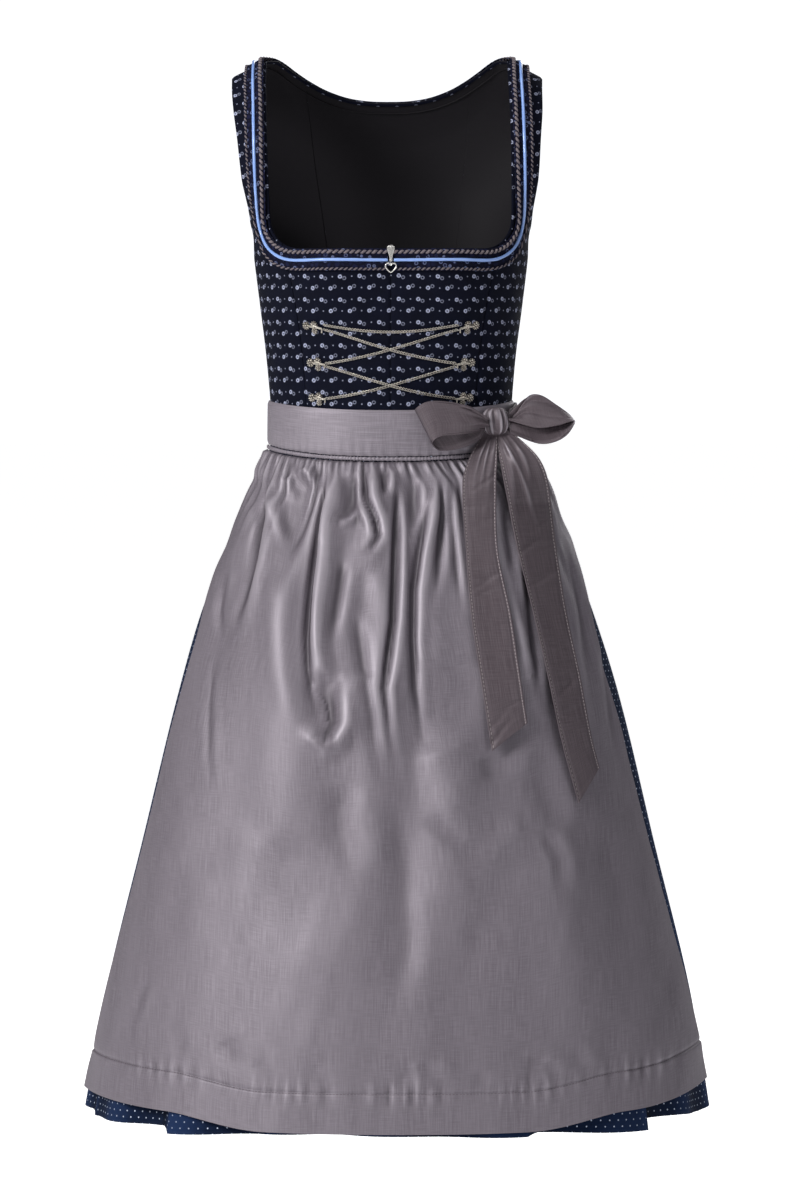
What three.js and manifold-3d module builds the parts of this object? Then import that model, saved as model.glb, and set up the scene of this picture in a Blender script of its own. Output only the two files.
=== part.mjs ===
// Dirndl dress with its apron, in the hollow form it takes when it is worn.
// Millimetres, +Z up. +X is the wearer's left and the front faces -Y.
// The origin lies midway between the tops of the two shoulder straps.
import * as THREE from 'three';
import { mergeVertices } from 'three/addons/utils/BufferGeometryUtils.js';
import Module from 'manifold-3d';

const wasm = await Module();
wasm.setup();

// ---------------------------------------------------------------- driving dimensions

const CLOTH = 1.4; // printed cotton of the bodice
const LINING = 1.0;
const SKIRT_CLOTH = 1.2;
const APRON_CLOTH = 1.2;
const RIBBON_CLOTH = 1.4;
const SEAM_GAP = 0.3;

const WAIST_Z = -386; // seam between bodice and skirt
const SKIRT_LENGTH = 667; // from the waist seam to the hem at the sides
const FRONT_HEM_RISE = 9; // the skirt hem is this much higher at centre front
const APRON_LENGTH = 656; // from the waist seam to the apron's lower edge
const APRON_HEM = 38; // depth of the apron's turned hem
const SHOULDER_SLOPE = 0.5; // fall of the strap per millimetre outwards
const SECTION_POWER = 2.3; // 2 is an ellipse, more is squarer

const NECK_HALF = 122; // half the width of the neck opening
const NECK_RISE = 195; // lower edge of the neck opening, above the waist seam
const NECK_CORNER = 30; // radius of its lower corners
const BACK_NECK_RISE = 350;
const UNDERARM_RISE = 219;
const SHOULDER_RISE = 428;
const STRAP_END = SHOULDER_RISE - 0.8; // front and back straps meet here at the shoulder seam

// Torso sections from the waist seam up to the shoulder line, as seen from outside the cloth.
const TORSO = [
  { rise: 0, z: -386, half: 121.5, front: 93, back: 92, lean: 0 },
  { rise: 34, z: -352, half: 121.8, front: 93.5, back: 91.5, lean: 0 },
  { rise: 86, z: -300, half: 126, front: 98, back: 94, lean: 0 },
  { rise: 135, z: -251, half: 132, front: 107, back: 99, lean: 0 },
  { rise: 183, z: -203, half: 138, front: 115, back: 104, lean: 0 },
  { rise: 219, z: -167, half: 141.5, front: 110, back: 106, lean: 0 },
  { rise: 266, z: -120, half: 168, front: 97, back: 104, lean: -1 },
  { rise: 310, z: -78, half: 187, front: 83, back: 95, lean: -2 },
  { rise: 352, z: -43, half: 194, front: 62, back: 77, lean: -3 },
  { rise: 386, z: -18, half: 197, front: 37, back: 50, lean: -4 },
  { rise: 412, z: -4, half: 198, front: 14, back: 22, lean: -4 },
  { rise: 428, z: 0, half: 198, front: 0, back: 0, lean: -4 },
];

// Skirt sections: how far below the start of the flare, and the half sizes there.
const SKIRT = [
  { drop: 0, half: 122, front: 93.5, back: 92.5, lean: 0 },
  { drop: 6, half: 123.5, front: 95, back: 94, lean: 0 },
  { drop: 35, half: 143, front: 110, back: 109, lean: 8.5 },
  { drop: 83, half: 164, front: 134, back: 133, lean: 8 },
  { drop: 157, half: 196, front: 165, back: 164, lean: 6 },
  { drop: 253, half: 226, front: 195, back: 193, lean: 7 },
  { drop: 399, half: 262, front: 230, back: 228, lean: 6.5 },
  { drop: 545, half: 298, front: 261, back: 259, lean: 6 },
  { drop: 667, half: 319, front: 281, back: 279, lean: 5 },
];

// Armhole edges: distance from the centre line, front and back.
const ARMHOLE = [
  { rise: 219, front: 141.5, back: 141.5 },
  { rise: 240, front: 144.5, back: 144 },
  { rise: 266, front: 149, back: 147 },
  { rise: 310, front: 152, back: 150 },
  { rise: 352, front: 155, back: 153 },
  { rise: 428, front: 157, back: 157 },
];

// Princess seams: distance from the centre line, front and back.
const PRINCESS = [
  { rise: 0, front: 84, back: 46 },
  { rise: 41, front: 85, back: 46 },
  { rise: 102, front: 90, back: 52 },
  { rise: 142, front: 96, back: 58 },
  { rise: 183, front: 104, back: 64 },
  { rise: 200, front: 108.6, back: 67 },
  { rise: 290, front: 122, back: 78 },
  { rise: 366, front: 122, back: 84 },
];

// Largest folds of the apron: angle round the waist at the band and at the hem,
// angular half-width, depth, and the stretch of the apron's length they run over.
const APRON_FOLDS = [
  { top: 1.5, hem: 3, spread: 4.5, depth: 8, from: 0, to: 0.95 },
  { top: -28, hem: -14, spread: 6, depth: 8, from: 0, to: 0.45 },
  { top: -38, hem: -36, spread: 6, depth: 7, from: 0, to: 0.24 },
  { top: -14, hem: -10, spread: 4, depth: 5, from: 0, to: 0.3 },
  { top: 15, hem: 4, spread: 4.5, depth: 6, from: 0, to: 0.4 },
  { top: 27, hem: 18, spread: 4.5, depth: 6, from: 0, to: 0.5 },
  { top: 46, hem: 34, spread: 5, depth: 7, from: 0, to: 0.6 },
  { top: -57, hem: -44, spread: 6, depth: 6, from: 0, to: 0.5 },
  { top: 64, hem: 58, spread: 5, depth: 5, from: 0, to: 0.7 },
];

const COLOURS = {
  print: [0x14162d, 0.85, 0],
  lining: [0x17131a, 0.9, 0],
  trimBand: [0x12152c, 0.9, 0],
  braid: [0x6f6660, 0.85, 0],
  piping: [0x7f9fdc, 0.35, 0],
  skirt: [0x192d55, 0.85, 0],
  apron: [0x7d747c, 0.4, 0],
  metal: [0xb9b2a4, 0.3, 1],
};

// ---------------------------------------------------------------- curves and solids

const dress = new THREE.Group();
const clamp = THREE.MathUtils.clamp;
const lerp = THREE.MathUtils.lerp;
const radians = THREE.MathUtils.degToRad;
const sides = [
  { name: 'right', sign: -1 },
  { name: 'left', sign: 1 },
];

function smoothstep(low, high, value) {
  return THREE.MathUtils.smoothstep(value, low, high);
}

// A smooth function through one column of a table, by its key column.
function column(rows, key, name) {
  const slope = rows.map((row, i) => {
    const before = rows[Math.max(i - 1, 0)];
    const after = rows[Math.min(i + 1, rows.length - 1)];
    return (after[name] - before[name]) / (after[key] - before[key]);
  });
  return (at) => {
    const place = clamp(at, rows[0][key], rows.at(-1)[key]);
    const i = Math.max(rows.findIndex((row) => row[key] >= place), 1);
    const [a, b] = [rows[i - 1], rows[i]];
    const step = b[key] - a[key];
    const t = (place - a[key]) / step;
    const bend = (slope[i - 1] * (1 - t) - slope[i] * t) * step * t * (1 - t);
    const chord = (b[name] - a[name]) * t * (1 - t) * (2 * t - 1);
    return lerp(a[name], b[name], t) + bend + chord;
  };
}

function addMesh(name, geometry, colour) {
  const [color, roughness, metalness] = COLOURS[colour];
  const mesh = new THREE.Mesh(geometry, new THREE.MeshStandardMaterial({ color, roughness, metalness }));
  mesh.name = name;
  dress.add(mesh);
  return mesh;
}

function signedVolume(points, faces) {
  const [a, b, c] = [new THREE.Vector3(), new THREE.Vector3(), new THREE.Vector3()];
  let total = 0;
  for (let i = 0; i < faces.length; i += 3) {
    a.copy(points[faces[i]]);
    b.copy(points[faces[i + 1]]);
    c.copy(points[faces[i + 2]]);
    total += a.dot(b.cross(c));
  }
  return total;
}

// A closed body from points and triangles, turned so that its faces point out.
function closedBody(points, faces) {
  if (signedVolume(points, faces) < 0) {
    faces.reverse();
  }
  const geometry = new THREE.BufferGeometry();
  geometry.setFromPoints(points);
  geometry.setIndex(faces);
  geometry.computeVertexNormals();
  return geometry;
}

// A wall of cloth: outerAt and innerAt give its two faces at whole steps i, j.
function wall(iCount, jCount, outerAt, innerAt) {
  const points = [];
  const faces = [];
  for (const at of [outerAt, innerAt]) {
    for (let i = 0; i <= iCount; i += 1) {
      for (let j = 0; j <= jCount; j += 1) {
        points.push(at(i / iCount, j / jCount));
      }
    }
  }
  const layer = (iCount + 1) * (jCount + 1);
  const index = (i, j, side) => side * layer + i * (jCount + 1) + j;
  const quad = (a, b, c, d) => faces.push(a, b, c, a, c, d);
  for (let i = 0; i < iCount; i += 1) {
    for (let j = 0; j < jCount; j += 1) {
      quad(index(i, j, 0), index(i + 1, j, 0), index(i + 1, j + 1, 0), index(i, j + 1, 0));
      quad(index(i + 1, j + 1, 1), index(i + 1, j, 1), index(i, j, 1), index(i, j + 1, 1));
    }
  }
  for (let i = 0; i < iCount; i += 1) {
    quad(index(i + 1, 0, 0), index(i, 0, 0), index(i, 0, 1), index(i + 1, 0, 1));
    quad(index(i, jCount, 0), index(i + 1, jCount, 0), index(i + 1, jCount, 1), index(i, jCount, 1));
  }
  for (let j = 0; j < jCount; j += 1) {
    quad(index(0, j, 0), index(0, j + 1, 0), index(0, j + 1, 1), index(0, j, 1));
    quad(index(iCount, j + 1, 0), index(iCount, j, 0), index(iCount, j, 1), index(iCount, j + 1, 1));
  }
  return closedBody(points, faces);
}

// The outward normal of a surface given by two parameters.
function normalOf(surface, u, v, stepU, stepV) {
  const alongU = surface(u + stepU, v).sub(surface(u - stepU, v));
  const alongV = surface(u, v + stepV).sub(surface(u, v - stepV));
  return alongU.cross(alongV).normalize();
}

// A squared ellipse: angle 0 is centre front, a quarter turn is the side, a half turn the back.
function section(angle, half, front, back) {
  const power = 2 / SECTION_POWER;
  const sine = Math.sin(angle);
  const cosine = Math.cos(angle);
  const x = Math.sign(sine) * half * Math.abs(sine) ** power;
  const depth = cosine > 0 ? front : -back;
  return [x, -depth * Math.abs(cosine) ** power];
}

// ---------------------------------------------------------------- torso surface

const torsoColumn = Object.fromEntries(
  ['z', 'half', 'front', 'back', 'lean'].map((name) => [name, column(TORSO, 'rise', name)]),
);
const CUP = { x: 64, rise: 166, wide: 34, high: 40, depth: 6 };

// Two soft cups over the bust.
function cup(x, rise) {
  const across = (Math.abs(x) - CUP.x) / CUP.wide;
  const up = (rise - CUP.rise) / CUP.high;
  return CUP.depth * Math.exp(-across * across - up * up);
}

function torso(angle, rise) {
  const half = torsoColumn.half(rise);
  const [x, depth] = section(angle, half, torsoColumn.front(rise), torsoColumn.back(rise));
  const front = smoothstep(0, 0.5, Math.cos(angle));
  const slope = SHOULDER_SLOPE * (Math.abs(x) - NECK_HALF) * smoothstep(266, SHOULDER_RISE, rise);
  return new THREE.Vector3(
    x + torsoColumn.lean(rise),
    depth - front * cup(x, rise),
    torsoColumn.z(rise) - Math.max(slope, -6),
  );
}

const STEP = { angle: 0.004, rise: 0.5 }; // small steps that the torso's slopes are measured over

function torsoNormal([angle, rise], topGap) {
  const safeRise = clamp(rise, 0.6, SHOULDER_RISE - topGap);
  return normalOf(torso, angle, safeRise, STEP.angle, STEP.rise);
}

function onTorso(place, lift) {
  return torso(...place).addScaledVector(torsoNormal(place, 0.2), lift);
}

// The angle at which the section at this rise is x from the centre line.
function angleOf(x, rise, atBack) {
  const ratio = clamp(x / torsoColumn.half(rise), -1, 1);
  const quarter = Math.sign(ratio) * Math.asin(Math.abs(ratio) ** (SECTION_POWER / 2));
  return atBack ? Math.PI - quarter : quarter;
}

function panel(name, colour, iCount, jCount, place, outer, thickness) {
  const outerAt = (i, j) => onTorso(place(i, j), outer);
  const innerAt = (i, j) => onTorso(place(i, j), outer - thickness);
  return addMesh(name, wall(iCount, jCount, outerAt, innerAt), colour);
}

// ---------------------------------------------------------------- bodice

const armhole = {
  front: column(ARMHOLE, 'rise', 'front'),
  back: column(ARMHOLE, 'rise', 'back'),
};
const princess = {
  front: column(PRINCESS, 'rise', 'front'),
  back: column(PRINCESS, 'rise', 'back'),
};

// Front neck edge: its rise for a distance from the centre line inside the corner.
function frontNeckRise(x) {
  const intoCorner = clamp(x - (NECK_HALF - NECK_CORNER), 0, NECK_CORNER);
  return NECK_RISE + NECK_CORNER - Math.sqrt(NECK_CORNER ** 2 - intoCorner ** 2);
}

// The same edge, as the distance from the centre line for a rise.
function frontNeckX(rise) {
  const below = clamp(NECK_RISE + NECK_CORNER - rise, 0, NECK_CORNER);
  return NECK_HALF - NECK_CORNER + Math.sqrt(NECK_CORNER ** 2 - below ** 2);
}

function backNeckRise(x) {
  return BACK_NECK_RISE + (SHOULDER_RISE - BACK_NECK_RISE) * (Math.abs(x) / NECK_HALF) ** 2.6;
}

function backNeckX(rise) {
  const share = clamp((rise - BACK_NECK_RISE) / (SHOULDER_RISE - BACK_NECK_RISE), 0, 1);
  return NECK_HALF * share ** (1 / 2.6);
}

const FRONT_SEAM_END = 108.6; // the princess seams meet the neck edge this far from the centre line
const BACK_SEAM_END = 84;
const FRONT_SEAM_TOP = frontNeckRise(FRONT_SEAM_END);
const BACK_SEAM_TOP = backNeckRise(BACK_SEAM_END);
const HALF_GAP = SEAM_GAP / 2;
const CLOSING_GAP = 0.6; // each side of the closing line

function centreFront({ name, sign }) {
  const place = (i, j) => {
    const top = frontNeckRise(lerp(0, FRONT_SEAM_END, i));
    const rise = lerp(HALF_GAP, top, j);
    const x = lerp(CLOSING_GAP, princess.front(Math.min(rise, FRONT_SEAM_TOP)) - HALF_GAP, i);
    return [angleOf(sign * x, rise, false), rise];
  };
  panel(`bodice_front_${name}`, 'print', 5, 9, place, 0, CLOTH);
}

// Inner and outer edges of the side pieces, as distances from the centre line.
function sideFrontEdges(rise) {
  const inner = rise < FRONT_SEAM_TOP ? princess.front(rise) + HALF_GAP : frontNeckX(rise);
  return [inner, armhole.front(rise)];
}

function sideBackEdges(rise) {
  const inner = rise < BACK_SEAM_TOP ? princess.back(rise) + HALF_GAP : backNeckX(rise);
  return [inner, armhole.back(rise)];
}

const SIDE_SEAM_ANGLE = radians(89.9);

function sidePlace(edges, sign, atBack) {
  return (i, j) => {
    const rise = lerp(HALF_GAP, STRAP_END, j);
    const [inner, outer] = edges(rise);
    const near = angleOf(inner, rise, false);
    const armholeAngle = rise < UNDERARM_RISE ? SIDE_SEAM_ANGLE : angleOf(outer, rise, false);
    const far = Math.min(armholeAngle, SIDE_SEAM_ANGLE);
    const angle = lerp(near, far, i);
    return [sign * (atBack ? Math.PI - angle : angle), rise];
  };
}

function sidePanels({ name, sign }) {
  const front = sidePlace(sideFrontEdges, sign, false);
  const back = sidePlace(sideBackEdges, sign, true);
  panel(`bodice_side_front_${name}`, 'print', 4, SIDE_ROWS, front, 0, CLOTH);
  panel(`bodice_side_back_${name}`, 'print', 5, SIDE_ROWS, back, 0, CLOTH);
  const lined = (i, j) => back(i, lerp(LINING_ROW / SIDE_ROWS, 1, j));
  panel(`lining_side_back_${name}`, 'lining', 5, SIDE_ROWS - LINING_ROW, lined, LINING_LIFT, LINING);
}

function backPlace(i, j) {
  const across = lerp(-1, 1, i);
  const rise = lerp(HALF_GAP, backNeckRise(across * BACK_SEAM_END), j);
  const x = across * (princess.back(rise) - HALF_GAP);
  return [angleOf(x, rise, true), rise];
}

const SIDE_ROWS = 15;
const BACK_ROWS = 10;
const LINING_ROW = 3; // the lining is seen no lower than this row
const LINING_LIFT = -(CLOTH + SEAM_GAP);

sides.forEach(centreFront);
sides.forEach(sidePanels);
panel('bodice_back', 'print', 6, BACK_ROWS, backPlace, 0, CLOTH);
const linedBack = (i, j) => backPlace(i, lerp(LINING_ROW / BACK_ROWS, 1, j));
panel('lining_back', 'lining', 6, BACK_ROWS - LINING_ROW, linedBack, LINING_LIFT, LINING);

// ---------------------------------------------------------------- neckline trims

const TRIM_LIFT = 1.9;
const TRIM_END = 3.1; // the trims stop this far from the closing line

// Each strip: distance of its two edges from the neck edge, its lift and thickness.
const TRIMS = [
  { name: 'trim_band', colour: 'trimBand', near: 1.2, far: 22.2, lift: 0, thick: 0.7 },
  { name: 'trim_inner_braid', colour: 'braid', near: 2.2, far: 6.4, lift: 1.4, thick: 1 },
  { name: 'trim_piping', colour: 'piping', near: 10, far: 13.6, lift: 1.4, thick: 1.4 },
  { name: 'trim_outer_braid', colour: 'braid', near: 18.8, far: 22, lift: 1.4, thick: 0.8 },
];

// The neck edge on one side as (angle, rise) places, from centre front to centre back.
function neckPlaces(sign) {
  const places = [];
  const front = (x, rise) => places.push([angleOf(sign * x, rise, false), rise]);
  const back = (x, rise) => places.push([angleOf(sign * x, rise, true), rise]);
  for (const x of [TRIM_END, 24, 46, 68, NECK_HALF - NECK_CORNER]) {
    front(x, NECK_RISE);
  }
  for (const turn of [18, 36, 54, 72, 90].map(radians)) {
    front(NECK_HALF - NECK_CORNER * (1 - Math.sin(turn)), NECK_RISE + NECK_CORNER * (1 - Math.cos(turn)));
  }
  for (const rise of [248, 272, 296, 320, 344, 364, 382, 397, 410, 420, SHOULDER_RISE - 0.3]) {
    front(NECK_HALF, rise);
  }
  for (const x of [118, 111, 102, 91, 78, 62, 42, 22, 0]) {
    back(x, backNeckRise(x));
  }
  return places;
}

// Walks over the torso from a place, in a direction, and returns the place it reaches.
function walk([startAngle, startRise], direction, distance) {
  const steps = 6;
  let [angle, rise] = [startAngle, startRise];
  for (let k = 0; k < steps; k += 1) {
    const [da, dr] = [STEP.angle, STEP.rise];
    const low = clamp(rise, 0.6, SHOULDER_RISE - 0.6);
    const alongAngle = torso(angle + da, low).sub(torso(angle - da, low)).divideScalar(2 * da);
    const alongRise = torso(angle, low + dr).sub(torso(angle, low - dr)).divideScalar(2 * dr);
    const [aa, ar, rr] = [alongAngle.dot(alongAngle), alongAngle.dot(alongRise), alongRise.dot(alongRise)];
    const [ad, rd] = [alongAngle.dot(direction), alongRise.dot(direction)];
    const size = aa * rr - ar * ar;
    const move = distance / steps;
    const [stepAngle, stepRise] = [(rr * ad - ar * rd) / size, (aa * rd - ar * ad) / size];
    const length = alongAngle.clone().multiplyScalar(stepAngle).addScaledVector(alongRise, stepRise).length();
    angle += (stepAngle * move) / length;
    rise = Math.min(rise + (stepRise * move) / length, SHOULDER_RISE - 0.3);
  }
  return [angle, rise];
}

// One half of the neck edge: places, and the direction on the cloth away from the opening.
function neckHalf(sign) {
  const places = neckPlaces(sign);
  const points = places.map((place) => onTorso(place, 0));
  return places.map((place, i) => {
    const before = points[Math.max(i - 1, 0)];
    const after = points[Math.min(i + 1, points.length - 1)];
    const normal = torsoNormal(place, 0.6);
    const along = after.clone().sub(before).normalize();
    const away = along.cross(normal).multiplyScalar(sign).normalize();
    if (i === 0) {
      away.set(0, 0, -1);
    }
    return { place, away };
  });
}

const neckHalves = { left: neckHalf(1), right: neckHalf(-1) };
// The whole edge runs from the closing line on one side, round the back, to the other side.
const neckLine = [...neckHalves.left, ...neckHalves.right.slice(0, -1).reverse()];

function trimStrip({ name, colour, near, far, lift, thick }) {
  const last = neckLine.length - 1;
  const across = far - near > 10 ? 2 : 1;
  const at = (height) => (i, j) => {
    const { place, away } = neckLine[Math.round(i * last)];
    return onTorso(walk(place, away, lerp(near, far, j)), height);
  };
  const base = TRIM_LIFT + lift;
  addMesh(name, wall(last, across, at(base + thick), at(base)), colour);
}

TRIMS.forEach(trimStrip);

// ---------------------------------------------------------------- metal: solids joined by union

function toManifold(geometry) {
  const bare = geometry.clone();
  bare.deleteAttribute('normal');
  bare.deleteAttribute('uv');
  const merged = mergeVertices(bare, 1e-4);
  return new wasm.Manifold(
    new wasm.Mesh({
      numProp: 3,
      vertProperties: new Float32Array(merged.attributes.position.array),
      triVerts: new Uint32Array(merged.index.array),
    }),
  );
}

function fromManifold(solid) {
  const mesh = solid.getMesh();
  const geometry = new THREE.BufferGeometry();
  geometry.setAttribute('position', new THREE.BufferAttribute(new Float32Array(mesh.vertProperties), 3));
  geometry.setIndex(new THREE.BufferAttribute(new Uint32Array(mesh.triVerts), 1));
  geometry.computeVertexNormals();
  return geometry;
}

function union(geometries) {
  return geometries.map(toManifold).reduce((whole, piece) => whole.add(piece));
}

// A round wire along a curve.
function wire(curve, radius, corners, steps) {
  const rim = Array.from({ length: corners }, (_, k) => {
    const turn = (2 * Math.PI * k) / corners;
    return new THREE.Vector2(radius * Math.cos(turn), radius * Math.sin(turn));
  });
  return new THREE.ExtrudeGeometry(new THREE.Shape(rim), { steps, extrudePath: curve, bevelEnabled: false });
}

// ---------------------------------------------------------------- hooks and lacing chain

const LINK_RADIUS = 1.1;
const EYE_LIFT = 4.6; // the hook's tongue, off the cloth

// The hooks from top to bottom: rise, distances of rosette, cluster and eye from the centre line.
const HOOKS = [
  { level: 'upper', rise: 119, outer: 83.5, inner: 74.5, eye: 64 },
  { level: 'middle', rise: 82, outer: 79.5, inner: 71.5, eye: 62 },
  { level: 'lower', rise: 47, outer: 78, inner: 70.5, eye: 61.5 },
];

function flower(x, y, radius) {
  const disc = new THREE.CylinderGeometry(radius * 0.8, radius * 1.1, 2, 8);
  disc.rotateX(Math.PI / 2);
  disc.translate(x, y, 1.5);
  return disc;
}

// A hook in its own frame: +X to the closing line, +Z off the cloth, up is +Y or -Y.
function hookSolid(reach, span, up) {
  const plate = new THREE.BoxGeometry(reach - 4, 2.6, 0.9);
  plate.translate((reach - 4) / 2, -0.6 * up, 0.9);
  const arm = new THREE.QuadraticBezierCurve3(
    new THREE.Vector3(reach - 6, -0.6 * up, 1),
    new THREE.Vector3(reach - 2, -up, 1.2),
    new THREE.Vector3(reach - 1.2, -1.6 * up, EYE_LIFT),
  );
  const tongue = new THREE.BoxGeometry(1.3, 5, 0.9);
  tongue.translate(reach - 1.2, -1.6 * up, EYE_LIFT);
  const flowers = [flower(0, 0, 3.6), flower(span, 1.2 * up, 3.3), flower(span + 0.6, -3.6 * up, 2.4)];
  return fromManifold(union([plate, wire(arm, 0.8, 6, 4), tongue, ...flowers]));
}

// A frame on the cloth: X towards the closing line, Z off the cloth.
function clothFrame(x, rise) {
  const place = [angleOf(x, rise, false), rise];
  const normal = torsoNormal(place, 0.6);
  const inward = new THREE.Vector3(-Math.sign(x), 0, 0).projectOnPlane(normal).normalize();
  const turn = new THREE.Matrix4().makeBasis(inward, normal.clone().cross(inward), normal);
  return { origin: onTorso(place, SEAM_GAP), turn };
}

function eyePoint(sign, row, lift) {
  return onTorso([angleOf(sign * row.eye, row.rise - 2, false), row.rise - 2], lift);
}

for (const { name, sign } of sides) {
  for (const row of HOOKS) {
    const { origin, turn } = clothFrame(sign * row.outer, row.rise);
    const reach = eyePoint(sign, row, 0).distanceTo(origin);
    const solid = hookSolid(reach, row.outer - row.inner, -sign);
    const mesh = addMesh(`hook_${row.level}_${name}`, solid, 'metal');
    mesh.quaternion.setFromRotationMatrix(turn);
    mesh.position.copy(origin);
  }
}

// The chain runs from hook to hook; sag is its dip at mid span, over is its extra lift there.
const SPANS = [
  { name: 'chain_top', from: [-1, 0], to: [1, 0], sag: 8, over: 0 },
  { name: 'chain_upper_falling', from: [-1, 0], to: [1, 1], sag: 3, over: 3 },
  { name: 'chain_upper_rising', from: [-1, 1], to: [1, 0], sag: 3, over: 0 },
  { name: 'chain_lower_falling', from: [-1, 1], to: [1, 2], sag: 3, over: 3 },
  { name: 'chain_lower_rising', from: [-1, 2], to: [1, 1], sag: 3, over: 0 },
];
const CHAIN_REST = LINK_RADIUS + 0.7;
const END_GAP = 1.6;
const SPREAD = 1.5; // ends that share a hook lie this far above and below each other

function chainSpan({ name, from, to, sag, over }) {
  const [startRow, endRow] = [HOOKS[from[1]], HOOKS[to[1]]];
  const fall = Math.sign(startRow.rise - endRow.rise);
  const points = [];
  const count = 9;
  for (let k = 0; k <= count; k += 1) {
    const t = k / count;
    const x = lerp(from[0] * (startRow.eye - END_GAP), to[0] * (endRow.eye - END_GAP), t);
    const hang = 4 * t * (1 - t);
    const apart = fall === 0 ? 2 * SPREAD : -fall * SPREAD * (1 - 2 * t);
    const rise = lerp(startRow.rise, endRow.rise, t) - 2 - sag * hang + apart * (1 - hang);
    const lift = CHAIN_REST + over * hang ** 3 + 1.6 * (1 - hang) ** 3;
    points.push(onTorso([angleOf(x, rise, false), rise], lift));
  }
  const curve = new THREE.CatmullRomCurve3(points);
  addMesh(name, wire(curve, LINK_RADIUS, 6, 14), 'metal');
}

SPANS.forEach(chainSpan);

// ---------------------------------------------------------------- zip slider, pull tab and heart

const PULL_LIFT = 5.9; // hinge line of the pull tab, off the cloth
const TAB = { top: 7.2, foot: 2.6, length: 13.6, thick: 1.1, hole: 1.8 };
const BAIL = { radius: 1.8, wire: 0.4 };
const RING = { radius: 1.5, wire: 0.35 };
const HEART = { half: 5.4, height: 9.2, wire: 0.7 };

const neckCentre = torso(0, NECK_RISE);
const pullPivot = new THREE.Vector3(0, neckCentre.y - PULL_LIFT, neckCentre.z + 1);
const charmPivot = pullPivot.clone().add(new THREE.Vector3(0, 0, -TAB.length));

function ringOf(radius, thickness) {
  const ring = new THREE.TorusGeometry(radius, thickness, 5, 10);
  return ring.rotateY(Math.PI / 2);
}

function sliderSolid() {
  const body = new THREE.BoxGeometry(4.8, 1.6, 8);
  body.translate(0, BAIL.radius + 0.75, -2.4);
  return fromManifold(union([body, ringOf(BAIL.radius, BAIL.wire)]));
}

function tabSolid() {
  const outline = new THREE.Shape();
  outline.moveTo(-TAB.top / 2, 0.8);
  outline.lineTo(TAB.top / 2, 0.8);
  outline.lineTo(TAB.top / 2, -3);
  outline.lineTo(TAB.foot / 2, -TAB.length + 2);
  outline.lineTo(TAB.foot / 2, -TAB.length - 0.6);
  outline.lineTo(-TAB.foot / 2, -TAB.length - 0.6);
  outline.lineTo(-TAB.foot / 2, -TAB.length + 2);
  outline.lineTo(-TAB.top / 2, -3);
  const plate = new THREE.ExtrudeGeometry(outline, { depth: TAB.thick, bevelEnabled: false });
  plate.translate(0, 0, -TAB.thick / 2);
  plate.rotateX(Math.PI / 2);
  const bailHole = new THREE.BoxGeometry(TAB.hole, 4, 2.6);
  bailHole.translate(0, 0, -2);
  const ringHole = new THREE.BoxGeometry(1.3, 4, 1.8);
  ringHole.translate(0, 0, -TAB.length + 1.5);
  return fromManifold(toManifold(plate).subtract(toManifold(bailHole)).subtract(toManifold(ringHole)));
}

// Half of the heart's outline, from just past its notch to just past its point.
function heartHalf(side) {
  const [w, h] = [HEART.half * side, HEART.height];
  const top = -RING.radius - 1;
  const points = [
    [-w * 0.08, top - 2.1],
    [w * 0.45, top - 0.4],
    [w * 0.9, top - 1.4],
    [w, top - h * 0.4],
    [w * 0.5, top - h * 0.76],
    [-w * 0.06, top - h],
  ].map(([x, z]) => new THREE.Vector3(x, 0.1 * side, z));
  return wire(new THREE.CatmullRomCurve3(points, false, 'centripetal'), HEART.wire, 5, 12);
}

function heartSolid() {
  const stem = new THREE.BoxGeometry(0.9, 0.9, 2.8);
  stem.translate(0, 0, -RING.radius - 1.3);
  return fromManifold(union([heartHalf(-1), heartHalf(1), ringOf(RING.radius, RING.wire), stem]));
}

addMesh('zip_slider', sliderSolid(), 'metal').position.copy(pullPivot);
addMesh('zip_pull', tabSolid(), 'metal').position.copy(pullPivot);
addMesh('heart_charm', heartSolid(), 'metal').position.copy(charmPivot);

// ---------------------------------------------------------------- skirt

const skirtColumn = Object.fromEntries(
  ['half', 'front', 'back', 'lean'].map((name) => [name, column(SKIRT, 'drop', name)]),
);
const BAND_FOOT = { side: 0.5, front: 11 }; // below the waist seam: where the flare starts
const BAND_TOP = { side: -43.5, front: -35 };
const PLEATS = 18;

function flareStart(angle) {
  return lerp(BAND_FOOT.side, BAND_FOOT.front, Math.max(Math.cos(angle), 0) ** 1.5);
}

function pointOut(angle, drop, out) {
  const fall = Math.max(drop - flareStart(angle), 0);
  const [x, y] = section(
    angle,
    skirtColumn.half(fall) + out,
    skirtColumn.front(fall) + out,
    skirtColumn.back(fall) + out,
  );
  return new THREE.Vector3(x + skirtColumn.lean(fall), y, WAIST_Z - drop);
}

// How far the apron's folds go in at a place.
function apronFold(angle, drop) {
  const along = drop / APRON_LENGTH;
  const degrees = THREE.MathUtils.radToDeg(angle);
  return APRON_FOLDS.reduce((sum, fold) => {
    const centre = lerp(fold.top, fold.hem, along);
    const across = (degrees - centre) / fold.spread;
    const length = smoothstep(0.02, 0.1, along) * (1 - smoothstep(fold.from, fold.to, along) ** 2);
    return sum + fold.depth * length * Math.exp(-across * across);
  }, 0);
}

// Pleats of the skirt: uneven, deeper towards the hem, shallow under the apron.
function pleat(angle, drop) {
  const wave = PLEATS * angle + 0.9 * Math.sin(3 * angle + 1) + 0.6 * Math.sin(5 * angle);
  const depth = lerp(1, 15, smoothstep(10, SKIRT_LENGTH, drop));
  const covered = smoothstep(radians(70), radians(95), Math.abs(angle));
  return (depth * lerp(0.45, 1, covered) * (1 - Math.cos(wave))) / 2;
}

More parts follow.
